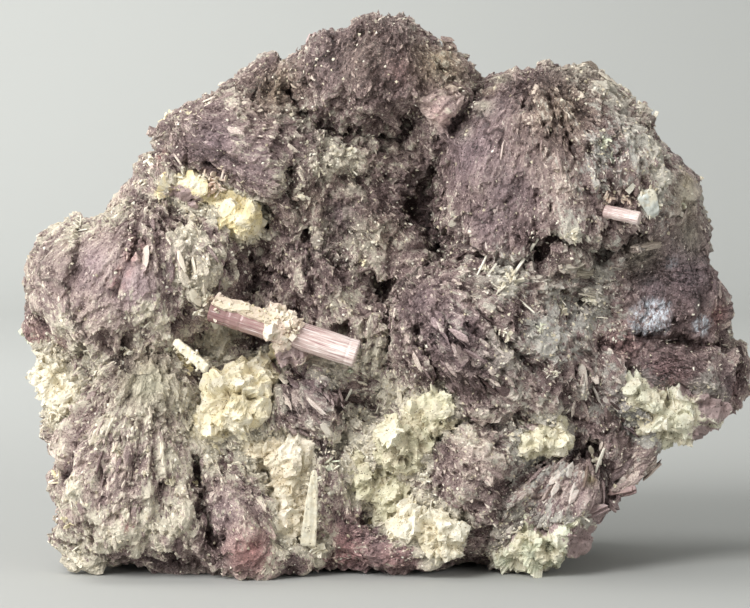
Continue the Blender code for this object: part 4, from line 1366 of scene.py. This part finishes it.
# Tufts. Smaller sprays of albite blades sit on the mica wherever it is not crusted over, a few millimetres
# across: some white, some yellow with iron, some peach. They are grown on, each from one point of the stone.
# Each is given by its middle and reach in pixels, the length of its blades in mm and their tint.
TUFTS = (
    (207, 300, 7, 2.0, "white"),
    (212, 318, 7, 2.0, "white"),
    (200, 310, 8, 2.0, "white"),
    (225, 298, 6, 1.8, "peach"),
    (240, 306, 6, 1.8, "peach"),
    (489, 268, 7, 1.4, "white"),
    (512, 278, 9, 1.7, "white"),
    (500, 290, 8, 1.3, "white"),
    (607, 200, 8, 1.4, "peach"),
    (624, 198, 8, 1.5, "peach"),
    (633, 186, 4, 1.5, "white"),
    (604, 141, 9, 1.4, "green"),
    (612, 160, 6, 1.1, "green"),
    (214, 184, 14, 1.5, "peach"),
    (200, 182, 8, 1.4, "white"),
    (204, 200, 12, 1.4, "yellow"),
    (256, 234, 9, 1.3, "yellow"),
    (72, 490, 6, 1.8, "white"),
    (58, 478, 8, 1.4, "yellow"),
    (68, 520, 9, 1.2, "yellow"),
    (42, 362, 9, 1.7, "white"),
    (50, 392, 9, 1.7, "white"),
    (58, 416, 9, 1.5, "white"),
    (180, 360, 16, 1.5, "yellow"),
    (168, 348, 10, 1.4, "green"),
    (276, 352, 6, 2.0, "yellow"),
    (232, 466, 9, 1.7, "white"),
    (275, 455, 10, 1.5, "white"),
    (262, 468, 8, 1.4, "white"),
    (330, 466, 8, 1.3, "green"),
    (292, 500, 10, 1.5, "white"),
    (290, 530, 10, 1.5, "white"),
    (318, 550, 9, 1.4, "white"),
    (172, 482, 6, 1.3, "yellow"),
    (196, 486, 5, 1.3, "yellow"),
    (430, 480, 8, 1.3, "white"),
    (405, 510, 12, 1.5, "white"),
    (425, 530, 12, 1.5, "white"),
    (392, 536, 9, 1.4, "white"),
    (372, 520, 8, 1.4, "yellow"),
    (528, 445, 8, 1.7, "yellow"),
    (512, 436, 7, 1.3, "white"),
    (540, 328, 9, 0.9, "green"),
    (506, 332, 7, 1.4, "white"),
    (553, 372, 9, 0.9, "white"),
    (588, 300, 9, 1.4, "white"),
    (562, 312, 8, 1.3, "white"),
    (573, 236, 8, 1.3, "white"),
    (596, 458, 7, 2.0, "white"),
    (560, 458, 6, 1.4, "peach"),
    (546, 560, 8, 1.4, "green"),
    (520, 545, 8, 1.4, "green"),
    (455, 556, 6, 1.3, "white"),
    (365, 262, 6, 1.1, "yellow"),
    (382, 280, 4, 1.4, "yellow"),
    (350, 150, 8, 1.3, "white"),
    (318, 168, 8, 1.4, "white"),
    (300, 196, 6, 1.3, "white"),
    (150, 160, 7, 1.3, "white"),
    (143, 182, 7, 1.3, "white"),
    (165, 118, 7, 1.1, "yellow"),
    (188, 112, 8, 1.0, "yellow"),
    (350, 370, 6, 1.4, "green"),
    (340, 350, 8, 1.4, "green"),
    (128, 350, 6, 1.1, "white"),
    (683, 205, 5, 1.1, "green"),
)
HIDDEN_TUFTS = 34
HIDDEN_TUFT_TINTS = ("white", "white", "yellow", "green")
HIDDEN_TUFT_REACH = (1.5, 3.5)
HIDDEN_TUFT_BLADE = 1.4
TUFT_CLOSENESS = 0.38
TUFT_TINT = 0.8
BLADE_MARKS = (
    "tint", "tip", "yellow", "green", "peach", "violet", "pink", "grey", "silver_glare", "frost", "bare",
)


def new_shape():
    """An empty mesh whose points hold the marks that the materials read."""
    shape = bmesh.new()
    for name in BLADE_MARKS:
        shape.verts.layers.float.new(name)
    return shape


def add_blade(shape, root, along, across, length, width, thickness, marks):
    """Adds a closed blade that grows from its root, is widest half way and ends in an uneven edge."""
    along = along.normalized()
    across = (across - along * across.dot(along)).normalized()
    flat = along.cross(across)
    rings = []
    for share, breadth in ((-0.1, 0.7), (0.55, 1.0), (dice.uniform(0.85, 1.0), dice.uniform(0.4, 0.9))):
        middle = root + along * length * share
        ring = []
        for side, rise in ((-1, -1), (1, -1), (1, 1), (-1, 1)):
            ragged = dice.uniform(-0.08, 0.08) * length
            offset = across * side * width * breadth / 2 + flat * rise * thickness / 2 + along * ragged
            vertex = shape.verts.new(middle + offset)
            for name, value in {**marks, "tip": share}.items():
                vertex[shape.verts.layers.float[name]] = value
            ring.append(vertex)
        rings.append(ring)
    shape.faces.new(rings[0][::-1])
    shape.faces.new(rings[2])
    for low, high in zip(rings, rings[1:]):
        close_band(shape, low, high)


def finished(shape, name, material):
    """The mesh of a shape built by hand, with its faces turned outwards."""
    bmesh.ops.recalc_face_normals(shape, faces=shape.faces)
    data = bpy.data.meshes.new(name)
    shape.to_mesh(data)
    shape.free()
    data.materials.append(material)
    return data


def any_direction():
    return Vector(dice.gauss(0, 1) for _ in range(3)).normalized()


def add_tuft(shape, middle, normal, reach, length, tint):
    for _ in range(int(TUFT_CLOSENESS * (math.pi * reach / MM) ** 2)):
        spread = any_direction() * reach * dice.uniform(0, 1) ** 0.7
        spread -= normal * spread.dot(normal)
        place, facing, _, _ = lump_tree.find_nearest(middle + spread)
        long = length * dice.uniform(0.5, 1.4)
        marks = {"tint": dice.uniform(0.3, 1)}
        if tint != "white":
            marks[tint] = TUFT_TINT
        wide = long * dice.uniform(0.2, 0.8)
        along = facing * 0.6 + any_direction()
        add_blade(shape, place, along, any_direction(), long, wide, long * 0.18, marks)


blade_material = albite_material(
    "albite_blades", scale=1.2, base_tone=0.74, tint_share=0.5, roughness=0.45, relief=0.15, pinhole_shade_share=0.04
)
tufts = new_shape()
for across, down, reach, length, tint in TUFTS:
    middle, normal = on_stone(lump_tree, across, down)
    size = (middle - eye).length * pixel_slope
    add_tuft(tufts, middle, normal, reach * size, length * MM, tint)
for _ in range(HIDDEN_TUFTS):
    middle, normal, _, _ = lump_tree.find_nearest(hidden_place())
    tint = dice.choice(HIDDEN_TUFT_TINTS)
    add_tuft(tufts, middle, normal, dice.uniform(*HIDDEN_TUFT_REACH) * MM, HIDDEN_TUFT_BLADE * MM, tint)
placed(finished(tufts, "albite_tufts", blade_material), "albite_tufts", "albite")


# Mica books. Where the mica is coarse, on the right, its sheets lie in thick curved stacks with torn edges.
# Each book is given in pixels by its middle and a point that its sheets run towards, then its length, width
# and spacing in mm, its number of sheets, its lean from flat on the stone in degrees, and its marks.
BOOKS = (
    ((646, 245), (664, 240), 7.5, 3.0, 0.4, 3, 20, {"grey": 0.6, "tint": 0.6}),
    ((586, 275), (602, 280), 6, 1.6, 0.5, 5, 80, {"grey": 0.9, "tint": 0.5}),
    ((575, 268), (590, 262), 5, 1.6, 0.5, 4, 80, {"grey": 0.9, "tint": 0.4}),
    ((592, 292), (610, 296), 5, 1.6, 0.5, 4, 80, {"grey": 0.9, "tint": 0.45}),
    ((566, 290), (582, 296), 5, 1.6, 0.5, 4, 70, {"grey": 0.7, "tint": 0.5}),
    ((668, 340), (690, 338), 6, 2.0, 0.4, 3, 60, {"silver_glare": 0.4, "grey": 0.5, "tint": 0.6}),
    ((700, 400), (712, 392), 6, 2.4, 0.5, 4, 70, {"violet": 0.4, "tint": 0.5}),
    ((630, 425), (640, 432), 5, 2.4, 0.5, 4, 70, {"tint": 0.0, "violet": 0.3}),
    ((618, 418), (628, 426), 5, 2.4, 0.5, 4, 70, {"tint": 0.0, "violet": 0.3}),
    ((648, 470), (668, 452), 7, 2.4, 0.5, 4, 75, {"grey": 0.4, "tint": 0.5}),
    ((622, 494), (645, 476), 8, 2.4, 0.5, 4, 75, {"pink": 0.2, "tint": 0.5}),
    ((590, 516), (615, 500), 8, 2.4, 0.5, 4, 75, {"violet": 0.3, "tint": 0.45}),
)
HIDDEN_BOOKS = 16
HIDDEN_BOOK_MARKS = ("violet", "violet", "pink", "grey")
HIDDEN_BOOK_LENGTH = (3, 6)
HIDDEN_BOOK_LEAN = (40, 80)
HIDDEN_BOOK_SHEETS = 5
HIDDEN_BOOK_SPACING = 0.65 * MM
SHEET_THICKNESS = 0.35 * MM
SHEET_CORNERS = 11
SHEET_BEND = 0.1


def add_sheet(shape, middle, along, across, length, width, marks):
    """Adds one closed sheet with a torn outline, bent along its length."""
    flat = along.cross(across)
    rims = ([], [])
    layer = shape.verts.layers.float
    for index in range(SHEET_CORNERS):
        angle = math.tau * (index + dice.uniform(-0.2, 0.2)) / SHEET_CORNERS
        reach = dice.uniform(0.62, 1.1)
        x, y = math.cos(angle) * reach, math.sin(angle) * reach
        for rim, rise in zip(rims, (0.5, -0.5)):
            height = rise * SHEET_THICKNESS - SHEET_BEND * x * x * length / 2
            spot = middle + along * x * length / 2 + across * y * width / 2 + flat * height
            vertex = shape.verts.new(spot)
            for name, value in {**marks, "tip": x / 2 + 0.5}.items():
                vertex[layer[name]] = value
            rim.append(vertex)
    for rim, rise in zip(rims, (0.5, -0.5)):
        hub = shape.verts.new(middle + flat * rise * SHEET_THICKNESS)
        for name, value in marks.items():
            hub[layer[name]] = value
        close_fan(shape, rim, hub)
    close_band(shape, *rims)


def add_book(shape, middle, normal, run, length, width, spacing, sheets, lean, marks):
    """Adds a stack of sheets. With no lean they lie flat on the stone, and at 90 degrees they stand up."""
    along = (run - normal * run.dot(normal)).normalized()
    side = normal.cross(along)
    flat = normal * math.cos(lean) + side * math.sin(lean)
    across = flat.cross(along)
    sunk = normal * math.sin(lean) * width * 0.3
    for index in range(sheets):
        step = flat * (index - (sheets - 1) / 2) * spacing
        slip = along * dice.uniform(-0.12, 0.12) * length + across * dice.uniform(-0.15, 0.15) * width
        tint = min(1, max(0, marks["tint"] + dice.uniform(-0.15, 0.15)))
        shrink = dice.uniform(0.75, 1.05)
        place = middle - sunk + step + slip
        add_sheet(shape, place, along, across, length * shrink, width * shrink, {**marks, "tint": tint})


def book_material():
    """Coarse mica: smooth pearly sheets, each of one tone, with fine flaws along them."""
    made, tree, shader = new_material("mica_books")
    grain = noise_node(tree, object_mm(tree), 1.6, 4, 0.75)
    tone = summed(tree, times(tree, grain, 0.8), (mark(tree, "tint"), 0.75))
    tone = minus(tree, tone, 0.22, clamp=True)
    coloured_as_mica(tree, shader, tone, smooth_step(tree, grain, 0.62, 0.75))
    roughen(tree, shader, grain, strength=0.4, depth=0.3)
    return made


books = new_shape()
for (across, down), (ahead, below), length, width, spacing, sheets, lean, marks in BOOKS:
    middle, normal = on_stone(lump_tree, across, down)
    run = (view_right * (ahead - across) - view_up * (below - down)).normalized()
    sizes = (length * MM, width * MM, spacing * MM, sheets, math.radians(lean))
    add_book(books, middle, normal, run, *sizes, marks)
for _ in range(HIDDEN_BOOKS):
    middle, normal, _, _ = lump_tree.find_nearest(hidden_place())
    length = dice.uniform(*HIDDEN_BOOK_LENGTH) * MM
    lean = math.radians(dice.uniform(*HIDDEN_BOOK_LEAN))
    marks = {dice.choice(HIDDEN_BOOK_MARKS): dice.uniform(0.3, 0.9), "tint": dice.random()}
    sizes = (length, length * 0.45, HIDDEN_BOOK_SPACING, HIDDEN_BOOK_SHEETS, lean)
    add_book(books, middle, normal, any_direction(), *sizes, marks)
placed(finished(books, "mica_books", book_material()), "mica_books", "lepidolite")


# Tourmaline. A long pink prism lies across the face, held by a collar of albite, and a short stub stands at
# the right. Both are bowed triangles in section, finely ribbed along their length, cracked across and broken
# flat. A splinter of the same prism lies in the mica below its right half.
PRISM_AROUND = 60
PRISM_ALONG = 72
PRISM_CRACKS = 7
CRACK_WIDTH = 0.25 * MM
CRACK_DEPTH = 0.035
PRISM_BOW = 0.055
PRISM_RIB = 0.035
END_CHAMFER = 0.25 * MM
END_RINGS = (0.7, 0.4, 0.15)
END_ROUGHNESS = 0.15 * MM
END_ROUGHNESS_SCALE = 900
PRISM_TRIM = 2.4 * MM
STUB_LENGTH_SHARE = 0.9
STUB_RADIUS_SHARE = 0.66
STUB_PALENESS = 0.55
SPLINTER_ROOT = (299, 361)
SPLINTER_TIP = (310, 366)
SPLINTER_HALF = 2.6 * MM
SPLINTER_RADIUS = 1.1 * MM
SPLINTER_PALENESS = 0.3
PRISM_TONES = (
    (0.0, (0.19, 0.10, 0.10)),
    (0.25, (0.33, 0.20, 0.185)),
    (0.5, (0.47, 0.33, 0.30)),
    (0.75, (0.61, 0.47, 0.43)),
    (1.0, (0.70, 0.57, 0.52)),
)
HAIRLINE_COLOUR = (0.26, 0.12, 0.13)
# Painted glints: near-white streaks along the ribs
GLINT_COLOUR = (0.91, 0.85, 0.81)
TOURMALINE_ROUGHNESS = 0.26
TOURMALINE_IOR = 1.63


def long_axis_of(spots):
    """The direction in which places lie furthest apart."""
    return np.linalg.svd(spots - spots.mean(0), full_matrices=False)[2][0]


def crystal_frame(node_name):
    """Middle, long axis, half-length and greatest radius of a packed prism."""
    spots = points_of(frame["nodes"][node_name].data)
    middle = (spots.max(0) + spots.min(0)) / 2
    axis = long_axis_of(spots)
    axis *= math.copysign(1, axis[0])
    along = (spots - middle) @ axis
    away = np.linalg.norm(spots - middle - along[:, None] * axis, axis=1)
    return Vector(middle), Vector(axis), (along.max() - along.min()) / 2, away.max()


def ribbed_crystal(name, middle, axis, half, radius, paleness):
    """A prism with fine ribs, shallow cracks and rough flat ends. Paleness is where its colours start."""
    shape = bmesh.new()
    layer = shape.verts.layers.float
    for mark_name in ("along", "around"):
        layer.new(mark_name)
    along_layer, around_layer = layer["along"], layer["around"]
    side = Vector((0, -1, 0)).cross(axis).normalized()
    outward = axis.cross(side)
    ribs = [dice.gauss(0, 1) for _ in range(PRISM_AROUND)]
    cracks = [dice.uniform(-0.9, 0.9) for _ in range(PRISM_CRACKS)]
    stations = list(np.linspace(-half + END_CHAMFER, half - END_CHAMFER, PRISM_ALONG))
    rings = []
    for station, share in [(-half, 0.93), *((s, 1.0) for s in stations), (half, 0.93)]:
        crack = min(abs(station / half - c) for c in cracks)
        waist = 1 - CRACK_DEPTH * math.exp(-(crack * half / CRACK_WIDTH) ** 2)
        ring = []
        for index in range(PRISM_AROUND):
            angle = math.tau * index / PRISM_AROUND
            spot = Vector((math.cos(angle) * 3, math.sin(angle) * 3, station / MM * 0.25))
            reach = radius * (1 - PRISM_BOW - PRISM_RIB + PRISM_BOW * math.cos(3 * angle + 0.5))
            reach *= 1 + PRISM_RIB * 0.45 * ribs[index] + 0.02 * noise.noise(spot)
            reach = min(reach * waist * share, radius)
            way = side * math.cos(angle) + outward * math.sin(angle)
            vertex = shape.verts.new(middle + axis * station + way * reach)
            vertex[along_layer] = paleness + (1 - paleness) * (station / half / 2 + 0.5)
            vertex[around_layer] = index / PRISM_AROUND
            ring.append(vertex)
        rings.append(ring)
    for low, high in zip(rings, rings[1:]):
        close_band(shape, low, high)
    for rim, end in ((rings[0], -1), (rings[-1], 1)):
        for share in END_RINGS:
            inner = []
            for vertex in rim:
                spot = middle + axis * end * half + (vertex.co - middle - axis * end * half) * share
                spot = spot + axis * noise.noise(spot * END_ROUGHNESS_SCALE) * END_ROUGHNESS
                made = shape.verts.new(spot)
                made[along_layer] = paleness + (1 - paleness) * (end / 2 + 0.5)
                inner.append(made)
            close_band(shape, rim, inner)
            rim = inner
        shape.faces.new(rim)
    return finished(shape, name, tourmaline)


def tourmaline_material():
    """Pink tourmaline: paler to the right, with painted white glints and dark hairlines along its ribs."""
    made, tree, shader = new_material("tourmaline")
    along = mark(tree, "along")
    place = {0: times(tree, mark(tree, "around"), 70.0), 1: times(tree, along, 5.0)}
    lines = noise_node(tree, node(tree, "ShaderNodeCombineXYZ", place).outputs[0], 1.0, 3, 0.6)
    clouds = noise_node(tree, object_mm(tree), 0.6, 3, 0.6)
    tone = summed(tree, summed(tree, -0.06, (along, 0.8)), (clouds, 0.35))
    colour = ramp_node(tree, tone, PRISM_TONES)
    dark = times(tree, smooth_step(tree, lines, 0.46, 0.36), 0.7)
    colour = mixed(tree, dark, colour, opaque(HAIRLINE_COLOUR))
    # Painted glints, more of them towards the right
    glint = times(tree, smooth_step(tree, summed(tree, lines, (along, 0.12)), 0.60, 0.70), 0.65)
    colour = mixed(tree, glint, colour, opaque(GLINT_COLOUR))
    tree.links.new(colour, shader.inputs["Base Color"])
    shader.inputs["Roughness"].default_value = TOURMALINE_ROUGHNESS
    shader.inputs["IOR"].default_value = TOURMALINE_IOR
    roughen(tree, shader, lines, strength=0.5, depth=0.15)
    return made


tourmaline = tourmaline_material()
prism_middle, prism_axis, prism_half, prism_radius = crystal_frame("tourmaline_prism")
prism_middle += prism_axis * PRISM_TRIM / 2
prism_half -= PRISM_TRIM / 2
prism_mesh = ribbed_crystal("pink_prism", prism_middle, prism_axis, prism_half, prism_radius, 0)
placed(prism_mesh, "pink_prism", "tourmaline", "tourmaline_prism")

middle, axis, half, radius = crystal_frame("tourmaline_stub")
half *= STUB_LENGTH_SHARE
radius *= STUB_RADIUS_SHARE
stub_mesh = ribbed_crystal("pink_stub", middle, axis, half, radius, STUB_PALENESS)
placed(stub_mesh, "pink_stub", "tourmaline", "tourmaline_stub")

middle, _ = on_stone(lump_tree, *SPLINTER_ROOT)
axis = view_right * (SPLINTER_TIP[0] - SPLINTER_ROOT[0]) - view_up * (SPLINTER_TIP[1] - SPLINTER_ROOT[1])
splinter_size = (SPLINTER_HALF, SPLINTER_RADIUS, SPLINTER_PALENESS)
splinter_mesh = ribbed_crystal("pink_splinter", middle, axis.normalized(), *splinter_size)
placed(splinter_mesh, "pink_splinter", "tourmaline")


# Albite on the prism. A slab of cream albite lies along the top of its left half, blocks of it grip the
# prism in a collar a little left of its middle, and finer blades bury its left end. All of it grew there.
SLAB_BLADES = 9
SLAB_START = 0.03
SLAB_STEP = 0.042
COLLAR_BLOCKS = 20
COLLAR_ROOT = 0.7
COLLAR_PLACE = (0.44, 0.57)
BLADE_ROOT = 0.88
PRISM_TINT = 0.45
# The finer blades: how many, where along the prism they start and end, how far they spread round it, their
# length in mm and their tint
PRISM_BLADES = (
    (24, 0.0, 0.07, 1.3, 1.2, "peach"),
    (26, 0.08, 0.44, 0.3, 1.1, "yellow"),
    (60, 0.41, 0.60, 1.3, 1.4, "peach"),
)

on_prism = new_shape()
upward = Vector((0, -0.25, 1))
upward = (upward - prism_axis * upward.dot(prism_axis)).normalized()
towards = prism_axis.cross(upward)
if towards.y > 0:
    towards = -towards


def at_prism(share, turn, height):
    """A place on the prism: how far along it, how far round it from its top, and how high on its radius."""
    outward = upward * math.cos(turn) + towards * math.sin(turn)
    core = prism_middle + prism_axis * prism_half * (share * 2 - 1)
    return core + outward * prism_radius * height, outward


for index in range(SLAB_BLADES):
    root, outward = at_prism(SLAB_START + SLAB_STEP * index, dice.uniform(0.35, 0.6), BLADE_ROOT)
    along = prism_axis + outward * dice.uniform(-0.02, 0.1)
    marks = {"tint": dice.uniform(0.0, 0.45), "peach": PRISM_TINT}
    length = dice.uniform(3, 4.5) * MM
    add_blade(on_prism, root, along, prism_axis.cross(outward), length, 3.2 * MM, 0.7 * MM, marks)
for _ in range(COLLAR_BLOCKS):
    root, outward = at_prism(dice.uniform(*COLLAR_PLACE), dice.gauss(0.6, 0.6), COLLAR_ROOT)
    along = outward * 0.8 + prism_axis * dice.uniform(-0.9, 0.9)
    length = dice.uniform(1.6, 2.6) * MM
    marks = {"tint": dice.uniform(0.2, 0.85), "peach": PRISM_TINT}
    add_blade(on_prism, root, along, any_direction(), length, length * 0.8, length * 0.5, marks)
for count, first, last, spread, longest, tint in PRISM_BLADES:
    for _ in range(count):
        root, outward = at_prism(dice.uniform(first, last), dice.gauss(0.3, spread * 0.5), BLADE_ROOT)
        along = outward * 0.5 + prism_axis * dice.uniform(-0.6, 0.9) + any_direction() * 0.45
        length = longest * dice.uniform(0.6, 1.2) * MM
        marks = {"tint": dice.random(), tint: PRISM_TINT}
        add_blade(on_prism, root, along, any_direction(), length, length * 0.5, length * 0.2, marks)
placed(finished(on_prism, "prism_albite", blade_material), "prism_albite", "albite")


# Single blades. Two long pale blades of albite and one greenish quartz tablet stand out of the mica. They
# are smooth, faintly ribbed along their length and a little clear at their edges.
BLADE_GRAIN = 0.3 * MM
BLADE_SOFTENING = 1
BLADE_ROUNDING = 0.1
BLADE_CRUMBS = 20
# Each blade's node, its slot, how it narrows and its tints
BLADES = (
    ("albite_blade_low", "albite", -0.6, {"clear": 0.2}),
    ("albite_blade_left", "albite", 0.2, {"clear": 0.2, "yellow": 0.1}),
    ("quartz_tablet", "quartz", 0.45, {"clear": 1.0}),
)


def tapered(mesh, narrowing):
    """Narrows a blade towards its lower or left end, or its other end if negative, and rounds both ends."""
    spots = points_of(mesh)
    middle = (spots.max(0) + spots.min(0)) / 2
    axis = long_axis_of(spots)
    axis *= math.copysign(1, axis[0] + axis[2])
    along = (spots - middle) @ axis
    share = along / np.abs(along).max()
    width = 1 - abs(narrowing) * (1 - math.copysign(1, narrowing) * share) / 2
    width = width - BLADE_ROUNDING * np.abs(share) ** 3
    core = middle + np.outer(along, axis)
    move_points(mesh, core + (spots - core) * width[:, None])


def blade_relief_tree(material):
    """Gives a blade ribs along its length and chipped edges."""
    tree, entry = geometry_tree("blade_relief", rib_height=0.6, chip_height=0.5)
    size = entry.outputs
    place = in_mm(tree)
    stretched = vector_node(tree, "MULTIPLY", place, (1.6, 1.6, 0.12))
    rib = minus(tree, noise_node(tree, stretched, 1.0, 2, 0.6), 0.5)
    chip = minus(tree, noise_node(tree, place, 0.8, 3, 0.6), 0.5)
    height = summed(tree, times(tree, rib, size["rib_height"]), (chip, size["chip_height"]))
    finish_tree(tree, raised_by(tree, size[0], height), material)
    return tree


single_material = albite_material(
    "clear_blades", scale=1.2, base_tone=0.62, tint_share=0.0, roughness=0.3, relief=0.15, pinhole_shade_share=0.03
)
blade_relief = blade_relief_tree(single_material)
crumbs = new_shape()
for blade_name, slot_name, narrowing, tints in BLADES:
    blade_mesh = regrained(blade_name, BLADE_GRAIN, BLADE_SOFTENING)
    tapered(blade_mesh, narrowing)
    blade_mesh = shaped_by(blade_relief, blade_mesh, blade_name + "_crystal")
    for tint, strength in tints.items():
        give(blade_mesh, tint, np.full(len(blade_mesh.vertices), strength))
    blade_mesh.shade_smooth()
    placed(blade_mesh, blade_name + "_crystal", slot_name, blade_name)
    for _ in range(BLADE_CRUMBS):
        grown = blade_mesh.vertices[dice.randrange(len(blade_mesh.vertices))]
        length = dice.uniform(0.4, 1.1) * MM
        along = grown.normal + any_direction() * 0.8
        marks = {"tint": dice.random()}
        add_blade(crumbs, grown.co, along, any_direction(), length, length * 0.6, length * 0.25, marks)
placed(finished(crumbs, "blade_crumbs", blade_material), "blade_crumbs", "albite")


# Needles. Hair-fine white needles of albite stick out of the hollows, singly and in sprays. The large ones
# are given by their root and tip in pixels, their thickness in mm and how far their tip leans to the viewer.
NEEDLES = (
    ((514, 274), (548, 222), 0.55, 0.5),
    ((478, 274), (487, 254), 0.4, 0.4),
    ((488, 275), (497, 262), 0.35, 0.3),
    ((596, 470), (604, 446), 0.5, 0.4),
    ((560, 305), (548, 288), 0.3, 0.3),
    ((640, 236), (652, 228), 0.3, 0.3),
    ((346, 400), (352, 388), 0.4, 0.3),
    ((310, 155), (302, 172), 0.4, 0.2),
    ((520, 300), (534, 312), 0.3, 0.3),
)
SMALL_NEEDLES = 150
NEEDLE_LEAN = 4 * MM
FROSTY = 0.5

needles = new_shape()
for root, tip, thickness, rise in NEEDLES:
    start, normal = on_stone(lump_tree, *root)
    depth = (start - eye).length
    end = eye + sight(*tip) * depth - Vector((0, rise * NEEDLE_LEAN, 0))
    reach = end - start
    thickness *= MM
    add_blade(needles, start, reach, normal.cross(reach), reach.length, thickness, thickness, {"tint": 1})
frosty = [index for index, strength in enumerate(patches["frost"]) if strength > FROSTY]
for _ in range(SMALL_NEEDLES):
    place, normal, _, _ = lump_tree.find_nearest(Vector(places[dice.choice(frosty)]))
    along = normal + any_direction() * 0.8
    length = dice.uniform(1.0, 2.6) * MM
    thickness = dice.uniform(0.15, 0.3) * MM
    side = any_direction()
    add_blade(needles, place, along, side, length, thickness, thickness, {"tint": dice.uniform(0.6, 1)})
placed(finished(needles, "albite_needles", blade_material), "albite_needles", "albite")


# The stage. A pale sheet bent up behind the stone, under soft light from the upper left and front.
FLOOR_COLOUR = (0.45, 0.455, 0.435)
WALL_COLOUR = (0.63, 0.64, 0.615)
ROOM_COLOUR = (0.86, 0.87, 0.86)
ROOM_STRENGTH = 0.48


def stage():
    """A sheet with a floor, a bend and a wall, given as depths and heights in metres."""
    sweep = bmesh.new()
    rows = []
    bend = 0.35
    back = 0.75
    reach = 2.5
    turns = np.linspace(0, math.pi / 2, 13)
    arc = [(back + bend * math.sin(turn), bend - bend * math.cos(turn)) for turn in turns]
    profile = [(-reach, 0.0), *arc, (back + bend, reach)]
    for depth, height in profile:
        rows.append([sweep.verts.new((across, depth, height)) for across in (-reach, reach)])
    for (a, b), (c, d) in zip(rows, rows[1:]):
        sweep.faces.new((a, b, d, c)).smooth = True
    sheet = object_of(sweep, "backdrop")
    made, tree, shader = new_material("backdrop")
    place = node(tree, "ShaderNodeSeparateXYZ", {0: node(tree, "ShaderNodeTexCoord").outputs["Object"]})
    # The paper is paler away from the stone, as painted light where the lamps reach less, and darker to the
    # right, as painted shade
    distant = smooth_step(tree, place.outputs["Y"], 0.0, 0.5)
    rightward = smooth_step(tree, place.outputs["X"], -0.3, 0.3)
    paper = mixed(tree, distant, opaque(FLOOR_COLOUR), opaque(WALL_COLOUR))
    shade = summed(tree, 0.96, (rightward, -0.18))
    tree.links.new(scaled(tree, paper, shade), shader.inputs["Base Color"])
    shader.inputs["Roughness"].default_value = 0.95
    sheet.data.materials.append(made)


def lamp(name, place, size, power, target=(0, 0, 0.06)):
    light = bpy.data.lights.new(name, "AREA")
    light.shape = "DISK"
    light.size = size
    light.energy = power
    made = bpy.data.objects.new(name, light)
    made.location = place
    made.rotation_euler = (Vector(place) - Vector(target)).to_track_quat("Z", "Y").to_euler()
    bpy.context.scene.collection.objects.link(made)


stage()
lamp("key", (-0.42, -0.62, 0.66), 0.45, 7.0)
lamp("window", (-0.75, -0.45, 0.25), 0.6, 5.8)
lamp("fill", (0.7, -0.7, 0.35), 0.6, 2.0)
lamp("wall_light", (-0.6, 0.1, 1.3), 0.8, 10, (0, 1.0, 0.4))
world = bpy.data.worlds.new("studio")
bpy.context.scene.world = world
world.use_nodes = True
background = world.node_tree.nodes["Background"]
background.inputs["Color"].default_value = opaque(ROOM_COLOUR)
background.inputs["Strength"].default_value = ROOM_STRENGTH
bpy.context.scene.view_settings.view_transform = "Standard"
